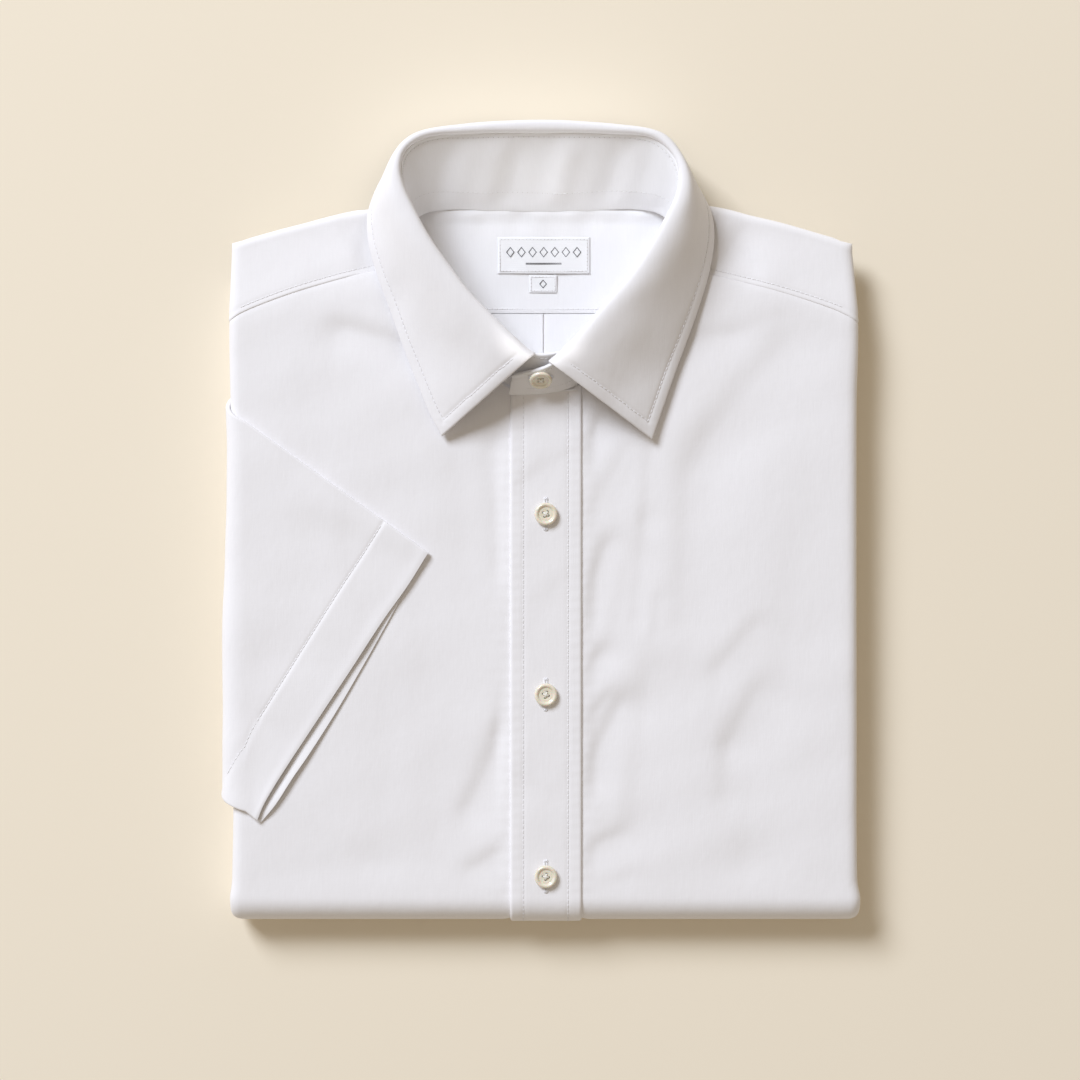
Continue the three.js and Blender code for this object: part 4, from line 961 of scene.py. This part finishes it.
def sleeve_length(share):
    """From the cuff to the side's fold, down the cuff."""
    top, low = (math.hypot(row["cuff"][0] - flat_end(-1.0, row["fold_y"]), row["cuff"][1] - row["fold_y"])
                for row in (SLEEVE_TOP, SLEEVE_LOW))
    return mix(top, low, share)


def sleeve_hem(share):
    return SLEEVE_HEM[0] + SLEEVE_HEM[1] * smoothstep(share, 0.76, 0.95)


def sleeve_relief(x, y, share, from_cuff):
    """Height of the upper ply's creases, of its turned hem and of the roll at its cuff."""
    inside = smoothstep(share, 0, 0.06) * smoothstep(1 - share, 0, 0.06)
    made = -trough_sum(x, y, SLEEVE_CREASES) + 0.2 * waves(x, y, 41, 70, 22, 10)
    past = from_cuff - sleeve_hem(share)
    hem = 0.25 * smoothstep(-past, 0.2, 1.8) - 0.25 * np.exp(-((past / 0.8) ** 2))
    return made * inside + hem + 0.3 * np.exp(-(((from_cuff - 2) / 2.0) ** 2))


SLEEVE_SHARES = np.concatenate([
    [0, 0.004, 0.01, 0.02, 0.035], np.linspace(0.055, 0.945, 54), [0.965, 0.98, 0.99, 0.996, 1]])
SLEEVE_BENDS = np.array([70, 45, 22, 0, -22, -45, -70], float)
SLEEVE_NEAR_CUFF = np.array([
    0, 0.3, 0.8, 1.6, 3, 5, 8, 11, 14, 17, 20, 22.5, 24.5, 25.7, 26.5, 27, 27.5, 28, 28.6, 29.6, 32])
SLEEVE_TURNS = np.array([83, 76, 68, 61, 54, 46, 39, 32, 24, 16, 8, 0, -8, -15, -22, -33, -44, -56], float)


def make_sleeve():
    ply = bpy.context.scene.shirt_sizes.cloth
    flats, bends = SLEEVE_SHARES, SLEEVE_BENDS
    share = np.concatenate([flats, np.ones(len(bends)), flats[::-1], np.zeros(len(bends))])
    face_up, face_down = np.full(len(flats), 90.0), np.full(len(flats), -90.0)
    angle = np.concatenate([face_up, bends, face_down, 180 - bends[::-1]])
    length = sleeve_length(share)[None, :]
    near = SLEEVE_NEAR_CUFF[:, None] * np.minimum(1, (length - 3) / 34)
    along = np.concatenate([near, mix(near[-1:], length, np.linspace(0, 1, 26)[1:, None])]) / length
    turn = np.concatenate([np.full(len(along), 90.0), SLEEVE_TURNS])[:, None] * np.ones_like(along[:1])
    along = np.concatenate([along, np.ones((len(SLEEVE_TURNS), len(share)))])
    share, angle, _ = np.broadcast_arrays(share, angle, along)
    where = (share, angle, along, turn)
    from_cuff = along * length + (90 - turn) * SIDE_ARC
    base = sleeve_point(*where, 0.0, 0.0)
    lip = SLEEVE_LIP * read(SLEEVE_OPEN, "share", "more", share) * np.exp(-((from_cuff / 2.4) ** 2))
    extra = np.where(angle > 0, sleeve_relief(base[..., 0], base[..., 1], share, from_cuff), lip)
    # The hem is turned in, so the upper ply is thicker there.
    thick = ply + np.where(angle > 0, 0.35 * smoothstep(sleeve_hem(share) - from_cuff, 0, 2), 0)
    outer, inner = sleeve_point(*where, 0 * thick, extra), sleeve_point(*where, thick, extra)
    piece = shell("sleeve_cloth", outer, inner, finish_for("shirting"), ring=True, sharp=60)
    settle(piece, "shirting", "sleeve_right")


# ---- buttons ----

# The turned outline, from the middle of the back to the middle of the face: out, up, in shares.
BUTTON_PROFILE = (
    (0, 0), (0.5, 0), (0.7, 0.05), (0.9, 0.24), (0.985, 0.42), (1, 0.55), (0.99, 0.7), (0.96, 0.84),
    (0.91, 0.95), (0.85, 1.0), (0.78, 0.99), (0.71, 0.9), (0.665, 0.76), (0.62, 0.67), (0.56, 0.66),
    (0.5, 0.69), (0.45, 0.66), (0.3, 0.6), (0, 0.58),
)
BUTTON_SIDES = 48
HOLE_REACH, HOLE_RADIUS, HOLE_TURNS = 1.45, 0.62, (45, 135, 225, 315)
SEWN = {"pairs": (45, 135), "apart": 0.22, "radius": 0.24, "over": 0.16}
BUTTON_LIFT = 0.15
COLLAR_BUTTON = (len(COLLAR) - 1.72, 0.64)


def turned_mesh(name, points, faces):
    """A smooth mesh round its own origin, from points in millimetres."""
    mesh = bpy.data.meshes.new(name)
    mesh.from_pydata((np.asarray(points) / 1000).tolist(), [], faces)
    mesh.update()
    mesh.shade_smooth()
    return mesh


def button_mesh():
    """One button with four holes, at the origin, its back on z = 0."""
    out, up = np.array(BUTTON_PROFILE).T * [[BUTTON_RADIUS], [BUTTON_HEIGHT]]
    rings = up[1:-1, None, None] * UP + out[1:-1, None, None] * circle(ACROSS, ALONG, BUTTON_SIDES)
    points, faces = skin(rings)
    # The two caps are made into fans round a middle point.
    for middle, cap in enumerate(faces[-2:], len(points)):
        faces += [(middle, *pair) for pair in zip(cap, cap[1:] + cap[:1])]
    points = [*points, up[0] * UP, up[-1] * UP]
    faces = faces[:-2 - 2 * BUTTON_SIDES] + faces[-2 * BUTTON_SIDES:]
    disc = place_object("button_turned", turned_mesh("button_turned", points, faces))
    cutters = []
    for turn in HOLE_TURNS:
        a = math.radians(turn)
        bpy.ops.mesh.primitive_cylinder_add(
            vertices=14, radius=HOLE_RADIUS / 1000, depth=3 * BUTTON_HEIGHT / 1000,
            location=(HOLE_REACH * math.cos(a) / 1000, HOLE_REACH * math.sin(a) / 1000, 0))
        cutters.append(bpy.context.object)
        cut = disc.modifiers.new("hole", "BOOLEAN")
        cut.operation, cut.solver, cut.object = "DIFFERENCE", "EXACT", cutters[-1]
    depsgraph = bpy.context.evaluated_depsgraph_get()
    made = bpy.data.meshes.new_from_object(disc.evaluated_get(depsgraph))
    for thing in [disc, *cutters]:
        bpy.data.objects.remove(thing, do_unlink=True)
    made.shade_smooth()
    made.set_sharp_from_angle(angle=math.radians(40))
    return made


def thread_tube(path, radius):
    """A round thread along a path."""
    along = unit(np.gradient(path, axis=0))
    across = unit(np.cross(along, UP) + 1e-6)
    return skin(path[:, None] + radius * circle(across, unit(np.cross(across, along)), 7))


def button_thread():
    """Thread sewn across the four holes, over the button's own middle."""
    rows = []
    low, high = BUTTON_HEIGHT * 0.35, BUTTON_HEIGHT * 0.60
    for turn in SEWN["pairs"]:
        for sign in (-1, 1):
            a = math.radians(turn)
            along = np.array([math.cos(a), math.sin(a), 0])
            beside = np.array([-math.sin(a), math.cos(a), 0]) * sign * SEWN["apart"]
            crest = high + 0.62 + (SEWN["over"] if turn > 90 else 0)
            heights = (low, high + 0.1, high + 0.5, crest, high + 0.5, high + 0.1, low)
            reach = (-1.0, -0.95, -0.6, 0, 0.6, 0.95, 1.0)
            path = [along * HOLE_REACH * r + beside + UP * h for r, h in zip(reach, heights)]
            rows.append(thread_tube(curve_at(path, np.linspace(0, len(path) - 1, 19)), SEWN["radius"]))
    return join(rows)


def button_places():
    """Where each button sits and how it is turned: the collar's first, then down the placket."""
    station, share = COLLAR_BUTTON
    middle, outward, up = stand_surface(np.array([station]), np.array([share]))
    z = Vector(outward[0])
    x = Vector(up[0]).cross(z).normalized()
    tilt = Matrix((x, z.cross(x), z)).transposed().to_4x4()
    seats = [(middle[0] + outward[0] * (STAND_PLY / 2 + BUTTON_LIFT), tilt)]
    for y_at in BUTTON_ROWS:
        seats.append((face(BUTTON_X, y_at, PLACKET_OUT + BUTTON_LIFT), Matrix.Rotation(0.05 * y_at, 4, "Z")))
    return [Matrix.Translation(Vector((seat + OFFSET) / 1000)) @ turn for seat, turn in seats]


def make_buttons():
    disc = button_mesh()
    thread = turned_mesh("button_thread", *button_thread())
    for k, matrix in enumerate(button_places()):
        for part, mesh, finish, nodes in (("turned", disc, "button", [f"button_{k + 1}"]),
                                          ("thread", thread, "button_thread", [])):
            piece = link(f"button_{k + 1}_{part}", mesh.copy(), finish_for(finish))
            piece.data.transform(matrix)
            settle(piece, "button_shell", *nodes)
    bpy.data.meshes.remove(disc)
    bpy.data.meshes.remove(thread)


BUTTONHOLE = {"half": 7.7, "collar_half": 5.4, "width": 0.62, "bead": 0.44, "square": 0.35, "stitches": 220}


def buttonhole(centre, along, across, up, half):
    """A worked buttonhole: a dense bead of thread round a slit, with a bar at each end."""
    count = BUTTONHOLE["stitches"]
    t = np.linspace(0, 2 * math.pi, count, endpoint=False)
    u, v = (size * np.sign(wave) * np.abs(wave) ** BUTTONHOLE["square"]
            for size, wave in ((half, np.cos(t)), (BUTTONHOLE["width"], np.sin(t))))
    path = centre + u[:, None] * along + v[:, None] * across
    side = unit(np.cross(np.gradient(path, axis=0), up))
    fat = BUTTONHOLE["bead"] * (1 + 0.07 * np.cos(np.arange(count) * math.pi))
    fat = fat * (1 + 0.5 * smoothstep(np.abs(u), half - 1.0, half))
    bead = circle(1.25 * side, np.broadcast_to(0.8 * up, side.shape), 8)
    return skin(path[:, None] + fat[:, None, None] * bead, closed=True)


def make_buttonholes():
    sunk = 0.05
    rows = [buttonhole(face(BUTTON_X, y_at, PLACKET_OUT - sunk), ALONG, ACROSS, UP, BUTTONHOLE["half"])
            for y_at in BUTTON_ROWS]
    station, share = COLLAR_BUTTON
    middle, outward, lean = (part[0] for part in stand_surface(np.array([station]), np.array([share])))
    centre = middle + outward * (STAND_PLY / 2 - sunk)
    rows.append(buttonhole(centre, unit(np.cross(lean, outward)), lean, outward, BUTTONHOLE["collar_half"]))
    settle(mesh_object("buttonholes", *join(rows), finish_for("thread"), sharp=80), "shirting")


# ---- labels ----

LABEL_SUNK_EDGE = {"depth": 0.5, "width": 0.8}
LABEL_THICK, TAB_THICK, YARN_RISE = 0.7, 0.6, 0.12
NECK_LEVEL = NECK_FLOOR + SEAT + NECK_PLY + SEAT


def woven_plate(name, centre, size, thickness, node_name):
    """A woven label: flat, with corners a little rounded and edges turned under."""
    half_x, half_y = size[0] / 2, size[1] / 2
    u = np.concatenate([[-1, -0.985, -0.96, -0.92], np.linspace(-0.86, 0.86, 31), [0.92, 0.96, 0.985, 1]])
    v = np.concatenate([[-1, -0.97, -0.92, -0.86], np.linspace(-0.8, 0.8, 15), [0.86, 0.92, 0.97, 1]])
    gu, gv = np.meshgrid(u, v)
    x, y = centre[0] + gu * half_x, centre[1] + gv * half_y
    edge = np.minimum((1 - np.abs(gu)) * half_x, (1 - np.abs(gv)) * half_y)
    sag = 0.12 * waves(x, y, 51, 30, 12, 5)
    z = NECK_LEVEL + thickness + seam_roll(edge, *LABEL_SUNK_EDGE.values()) + sag
    outer, inner = np.stack([x, y, z], -1), np.stack([x, y, np.full_like(z, NECK_LEVEL)], -1)
    piece = shell(name, outer, inner, finish_for("label"), sharp=60)
    settle(piece, "label", node_name)


def raised_strip(corners, height, thick):
    """A closed strip of yarn floats round corners, standing a little above the label."""
    corners = np.asarray(corners, float)
    along = unit(np.roll(corners, -1, 0) - np.roll(corners, 1, 0))
    side = np.stack([along[:, 1], -along[:, 0]], -1) * thick / 2
    ring = [np.column_stack([corners + sign * side, np.full(len(corners), height + rise)])
            for sign, rise in ((-1, 0), (1, 0), (1, YARN_RISE), (-1, YARN_RISE))]
    return skin(np.stack(ring, 1), closed=True)


def lozenge(x, y, half_x, half_y):
    return [(x - half_x, y), (x, y - half_y), (x + half_x, y), (x, y + half_y)]


def bar(x0, x1, y, half):
    return [(x0, y - half), (x1, y - half), (x1, y + half), (x0, y + half)]


def make_labels():
    """The label and the size tab, with a plain row of lozenges, a bar and one lozenge woven in."""
    woven_plate("label_woven", LABEL_CENTRE, LABEL_SIZE, LABEL_THICK, "label")
    woven_plate("size_tab_woven", TAB_CENTRE, TAB_SIZE, TAB_THICK, "size_tab")
    top, tab_top = NECK_LEVEL + LABEL_THICK + 0.02, NECK_LEVEL + TAB_THICK + 0.02
    x, y = LABEL_CENTRE
    rows = [raised_strip(lozenge(x + k * 5.6, y + 1.6, 1.9, 2.4), top, 0.45) for k in range(-3, 4)]
    rows += [raised_strip(bar(x - 9, x + 9, y - 4.2, 0.25), top, 0.3)]
    rows += [raised_strip(lozenge(*TAB_CENTRE, 1.7, 2.0), tab_top, 0.45)]
    settle(mesh_object("label_motif", *join(rows), finish_for("label_yarn")), "label")


# ---- hidden layers ----

PLIES = {"heights": (4.9, 7.2, 9.5, 12.4), "thick": 1.9, "from": -150, "to": 153, "inset": 11.6, "step": 0.55}
PLY_REACH = np.array([-58, -30, -12, -4])  # from a ply's folded end back to its cut edge


def make_layers():
    """The plies that show at the shoulder end, each a folded edge, in place of the hidden layers."""
    half = PLIES["thick"] / 2
    xs = np.linspace(PLIES["from"], PLIES["to"], 120)
    bend = np.radians(np.linspace(90, -90, 9))
    section_y = np.concatenate([PLY_REACH, np.cos(bend) * half, PLY_REACH[::-1]])
    section_z = np.concatenate([np.full(4, half), np.sin(bend) * half, np.full(4, -half)])
    for k, height in enumerate(PLIES["heights"]):
        uneven = 0.8 * waves(xs, xs * 0 + k * 40, 60 + k, 120, 40, 6)
        front = shoulder_fold(xs) - SHOULDER_ROUND - PLIES["inset"] + PLIES["step"] * height + uneven
        level = height + 0.15 * waves(xs, xs * 0, 70 + k, 90, 30, 5)
        rings = np.stack(np.broadcast_arrays(
            xs[:, None], front[:, None] + section_y, level[:, None] + section_z), -1)
        piece = mesh_object(f"folded_ply_{k + 1}", *skin(rings), finish_for("shirting_inside"), sharp=60)
        settle(piece, "shirting_inside", *(["core_layers"] if k == 0 else []))


# ---- stitching ----

LABEL_STITCH = {"length": 1.3, "gap": 0.5, "thick": 0.8}
LEAF_STITCH_FIRST = 6  # the leaf's first row that the stitches up its front edges reach


def sewn(name, rows, slot, finish="thread"):
    settle(mesh_object(name, *join(rows), finish_for(finish), sharp=80), slot)


def front_rows(holes):
    """Both edges of the placket, round the bottom fold and under, and both yoke seams."""
    rows = []
    for line in PLACKET_STITCH:
        y, hem, _ = package_rows(lambda reach: np.full_like(reach, PLACKET_TOP - 1))(np.array([line]))
        x = np.full_like(y, line)
        path = face(x, y, placket_out(x, y, hem) + 0.05, hem=hem)[:, 0]
        turned = np.radians(hem[:, 0])
        rows.append(stitch_row(holes, path, np.stack([0 * turned, -np.sin(turned), np.cos(turned)], -1)))
    for side in (-1, 1):
        xs = side * np.linspace(NECK_HALF + 2, 150.5, 160)
        ys = yoke_seam(xs) + SEAT / 2 + YOKE_STITCH
        rows.append(stitch_row(holes, face(xs, ys, 0.04 - trough_sum(xs, ys, YOKE_CREASES)), UP))
    return rows


def collar_rows(holes, leaf_outer, leaf_edge):
    """Round the leaf along its front and outer edges, and both rows on each side of the stand."""
    normal = normals(leaf_outer)
    normal = normal * np.sign(normal[-8, normal.shape[1] // 4, 2])
    row = int(np.argmin(np.abs(leaf_edge[:, 20] - LEAF_STITCH)))
    left, right = (far * FRONT_LEAN for far in front_edge_distance(leaf_outer))
    up_it = range(LEAF_STITCH_FIRST, row)
    places = [(j, int(np.argmin(np.abs(left[j] - LEAF_STITCH)))) for j in up_it]
    places += [(row, i) for i in np.nonzero((left[row] > LEAF_STITCH) & (right[row] > LEAF_STITCH))[0]]
    places += [(j, int(np.argmin(np.abs(right[j] - LEAF_STITCH)))) for j in reversed(up_it)]
    j, i = np.array(places).T
    rows = [stitch_row(holes, leaf_outer[j, i] + normal[j, i] * 0.05, normal[j, i])]
    stations = np.linspace(0.4, len(COLLAR) - 1.4, 500)
    for share in stand_stitch_shares(stations):
        middle, outward, _ = stand_surface(stations, share)
        ripple = -stand_ripple(middle[:, 0], middle[:, 1], share)
        for sign in (-1, 1):
            path = middle + outward * (sign * (STAND_PLY / 2 - 0.1) + ripple)[:, None]
            rows.append(stitch_row(holes, path, outward * sign))
    return rows


def sleeve_rows(holes):
    """The hem on the upper ply, from near the low corner of the cuff to the top one."""
    share = np.linspace(0.012, 0.93, 300)
    reach, hem = sleeve_length(share), sleeve_hem(share)
    along = np.minimum(hem / reach, 1)
    turn = 90 - np.maximum(hem - reach, 0) / SIDE_ARC
    where = (share, np.full_like(share, 90.0), along, turn, 0 * share)
    base = sleeve_point(*where, 0 * share)
    extra = sleeve_relief(base[:, 0], base[:, 1], share, hem) + 0.04
    return [stitch_row(holes, sleeve_point(*where, extra), UP)]


def neck_rows(holes):
    """Round the label and the size tab, and along the seam of the inner yoke."""
    rows = []
    for centre, size, inset, level in (
        (LABEL_CENTRE, LABEL_SIZE, 1.3, 0.72), (TAB_CENTRE, TAB_SIZE, 1.0, 0.6),
    ):
        half_x, half_y = size[0] / 2 - inset, size[1] / 2 - inset
        corners = np.array([(-half_x, -half_y), (half_x, -half_y), (half_x, half_y), (-half_x, half_y)])
        ring = np.concatenate([mix(corners[k], corners[(k + 1) % 4], np.linspace(0, 1, 30)[:-1, None])
                               for k in range(4)])
        path = np.column_stack([ring + centre, np.full(len(ring), NECK_LEVEL + level)])
        rows.append(stitch_row(holes, path, UP, **LABEL_STITCH, closed=True))
    xs = np.linspace(-50, 52, 200)
    seam = np.stack(np.broadcast_arrays(xs, YOKE_BACK_SEAM_Y + 2.2, NECK_LEVEL - 0.3), -1)
    return rows + [stitch_row(holes, seam, UP)]


def make_stitching(leaf_outer, leaf_edge):
    holes = []
    sewn("stitching_fronts", front_rows(holes), "shirting")
    sewn("stitching_collar", collar_rows(holes, leaf_outer, leaf_edge), "shirting")
    sewn("stitching_sleeve", sleeve_rows(holes), "shirting")
    sewn("stitching_neck", neck_rows(holes), "shirting_inside")
    # The needle holes are grey discs: painted shade of the pits between the stitches.
    sewn("needle_holes", holes, "shirting", "hole")


# ---- stage ----


FLOOR_REACH, FLOOR_DROP = 4.0, 0.0002
WINDOW = {"place": (-3.05, 3.75, 3.95), "size": (2.4, 2.4), "colour": 0xE9F1FF}
CARD = {"place": (0.012, 0.061, 0.062), "target": (-0.026, 0.177, 0.031), "size": (0.03, 0.012), "spread": 42}
ROOM_COLOUR = 0xFFF1DE
CAMERA_PLACE = (-0.000355, -0.009253)


def area_light(name, place, target, size, energy, colour, spread=180):
    light = bpy.data.lights.new(name, "AREA")
    light.shape, light.energy, light.spread = "RECTANGLE", energy, math.radians(spread)
    light.size, light.size_y = size
    light.color = linear(colour)[:3]
    lamp = place_object(name, light, place)
    lamp.rotation_euler = (Vector(target) - Vector(place)).to_track_quat("-Z", "Y").to_euler()


def make_stage():
    scene, stage = bpy.context.scene, bpy.context.scene.shirt_stage
    floor_mesh = bpy.data.meshes.new("floor")
    corners = [(x * FLOOR_REACH, y * FLOOR_REACH, 0) for x, y in ((-1, -1), (1, -1), (1, 1), (-1, 1))]
    floor_mesh.from_pydata(corners, [], [(0, 1, 2, 3)])
    floor = link("floor", floor_mesh, finish_for("floor"))
    floor.location.z = -FLOOR_DROP
    area_light("window", WINDOW["place"], (0, 0, 0), WINDOW["size"], stage.key, WINDOW["colour"])
    # Two slips of white card held low over the neck lift the shade inside the collar.
    for side in (-1, 1):
        place, target = (Vector((side * x, y, z)) for x, y, z in (CARD["place"], CARD["target"]))
        area_light("collar_card", place, target, CARD["size"], stage.card, 0xFFFFFF, CARD["spread"])
    world = bpy.data.worlds.new("room")
    world.use_nodes = True
    background = world.node_tree.nodes["Background"]
    background.inputs["Color"].default_value = linear(ROOM_COLOUR)
    background.inputs["Strength"].default_value = stage.room
    scene.world = world
    # White cloth keeps its brightness in the plain view, and greys in the filmic one.
    scene.view_settings.view_transform = "Standard"
    camera = bpy.data.cameras.new("camera")
    camera.sensor_width, camera.lens = 36, stage.lens
    scene.camera = place_object("camera", camera, (*CAMERA_PLACE, stage.camera_height))


# ---- add-on ----


def colour_property(name, description, default):
    made = [((default >> shift) & 255) / 255 for shift in (16, 8, 0)]
    return FloatVectorProperty(name=name, description=description, default=made, size=3, min=0, max=1,
                               subtype="COLOR_GAMMA")


def millimetres(name, description, default, least, most):
    return FloatProperty(name=name, description=f"{description}, in millimetres", default=default,
                         min=least, max=most)


class ShirtSizes(PropertyGroup):
    cloth: millimetres("Cloth", "Thickness of one ply", 0.7, 0.3, 1.2)
    stitch_length: millimetres("Stitch", "Length of a stitch", 1.9, 1, 5)
    stitch_gap: millimetres("Stitch gap", "Gap between stitches", 0.6, 0.1, 2)
    thread: millimetres("Thread", "Thickness of the thread", 0.36, 0.1, 1)


class ShirtColours(PropertyGroup):
    cloth: colour_property("Cloth", "Face of the shirting", 0xF6F4F5)
    cloth_inside: colour_property("Inside", "Shirting inside the neck", 0xF5F4F5)
    thread: colour_property("Thread", "Sewing thread", 0xEFEEF0)
    # Painted shade: the grey of the needle-hole discs stands in for the shade in the pits between the
    # stitches.
    hole: colour_property("Needle holes", "Shaded pits between the stitches", 0xD2CECA)
    button_thread: colour_property("Button thread", "Thread through the buttons", 0xF2EFE6)
    label: colour_property("Label", "Woven label", 0xF3F3F4)
    label_yarn: colour_property("Label yarn", "Motif woven into the label", 0x3C3C40)
    button: colour_property("Button", "Buttons", 0xF5F0E1)
    floor: colour_property("Floor", "Board that the shirt lies on", 0xF5EAD5)


class ShirtStage(PropertyGroup):
    camera_height: FloatProperty(name="Camera height", description="Above the floor", default=1.25,
                                 unit="LENGTH")
    lens: millimetres("Lens", "Focal length", 81.7, 10, 300)
    key: FloatProperty(name="Window", description="Power of the light from the upper left, in watts",
                       default=400, min=0)
    card: FloatProperty(name="Collar card", description="Power thrown back inside the collar, in watts",
                        default=0.0021, min=0, precision=3)
    room: FloatProperty(name="Room", description="Strength of the light from all round", default=0.37, min=0)


class SHIRT_OT_fronts(Operator):
    """Makes the two front panels with their folds and creases"""

    bl_idname = "shirt.fronts"
    bl_label = "Fronts"

    def execute(self, context):
        make_fronts()
        return {"FINISHED"}


class SHIRT_OT_placket(Operator):
    """Makes the placket band down the front"""

    bl_idname = "shirt.placket"
    bl_label = "Placket"

    def execute(self, context):
        make_placket()
        return {"FINISHED"}


class SHIRT_OT_yoke(Operator):
    """Makes the outer yoke over both shoulders"""

    bl_idname = "shirt.yoke"
    bl_label = "Yoke"

    def execute(self, context):
        make_yoke()
        return {"FINISHED"}


class SHIRT_OT_neck(Operator):
    """Makes the cloth seen inside the neck: the inner yoke and the back with its pleat"""

    bl_idname = "shirt.neck"
    bl_label = "Inside of the neck"

    def execute(self, context):
        make_neck_floor()
        make_neck_facing()
        return {"FINISHED"}


class SHIRT_OT_collar(Operator):
    """Makes the collar's stand and leaf, and all the stitching"""

    bl_idname = "shirt.collar"
    bl_label = "Collar and stitching"

    def execute(self, context):
        make_stand()
        make_stitching(*make_leaf())
        return {"FINISHED"}


class SHIRT_OT_sleeve(Operator):
    """Makes the short sleeve that lies on the front"""

    bl_idname = "shirt.sleeve"
    bl_label = "Sleeve"

    def execute(self, context):
        make_sleeve()
        return {"FINISHED"}


class SHIRT_OT_buttons(Operator):
    """Makes the buttons, their thread and the buttonholes"""

    bl_idname = "shirt.buttons"
    bl_label = "Buttons"

    def execute(self, context):
        make_buttons()
        make_buttonholes()
        return {"FINISHED"}


class SHIRT_OT_labels(Operator):
    """Makes the woven label and the size tab, with no lettering"""

    bl_idname = "shirt.labels"
    bl_label = "Labels"

    def execute(self, context):
        make_labels()
        return {"FINISHED"}


class SHIRT_OT_layers(Operator):
    """Makes the folded plies that show at the shoulder end"""

    bl_idname = "shirt.layers"
    bl_label = "Hidden layers"

    def execute(self, context):
        make_layers()
        return {"FINISHED"}


class SHIRT_OT_stage(Operator):
    """Makes the floor, the lights and the camera"""

    bl_idname = "shirt.stage"
    bl_label = "Stage"

    def execute(self, context):
        make_stage()
        return {"FINISHED"}


OPERATORS = (
    SHIRT_OT_fronts, SHIRT_OT_placket, SHIRT_OT_yoke, SHIRT_OT_neck, SHIRT_OT_sleeve, SHIRT_OT_collar,
    SHIRT_OT_buttons, SHIRT_OT_labels, SHIRT_OT_layers, SHIRT_OT_stage,
)


class SHIRT_PT_panel(Panel):
    """Sizes, colours and pieces of the folded shirt"""

    bl_idname = "SHIRT_PT_panel"
    bl_label = "Folded shirt"
    bl_space_type = "VIEW_3D"
    bl_region_type = "UI"
    bl_category = "Shirt"

    def draw(self, context):
        for group in (context.scene.shirt_sizes, context.scene.shirt_colours, context.scene.shirt_stage):
            box = self.layout.box()
            for name in group.bl_rna.properties.keys():
                if name not in ("name", "rna_type"):
                    box.prop(group, name)
        for operator in OPERATORS:
            self.layout.operator(operator.bl_idname)


GROUPS = {"shirt_sizes": ShirtSizes, "shirt_colours": ShirtColours, "shirt_stage": ShirtStage}


def register():
    for made in (*GROUPS.values(), *OPERATORS, SHIRT_PT_panel):
        bpy.utils.register_class(made)
    for name, group in GROUPS.items():
        setattr(bpy.types.Scene, name, PointerProperty(type=group))


def unregister():
    for name in GROUPS:
        delattr(bpy.types.Scene, name)
    for made in reversed((*GROUPS.values(), *OPERATORS, SHIRT_PT_panel)):
        bpy.utils.unregister_class(made)


def main():
    register()
    for operator in OPERATORS:
        group, name = operator.bl_idname.split(".")
        getattr(getattr(bpy.ops, group), name)()


if __name__ == "__main__":
    main()
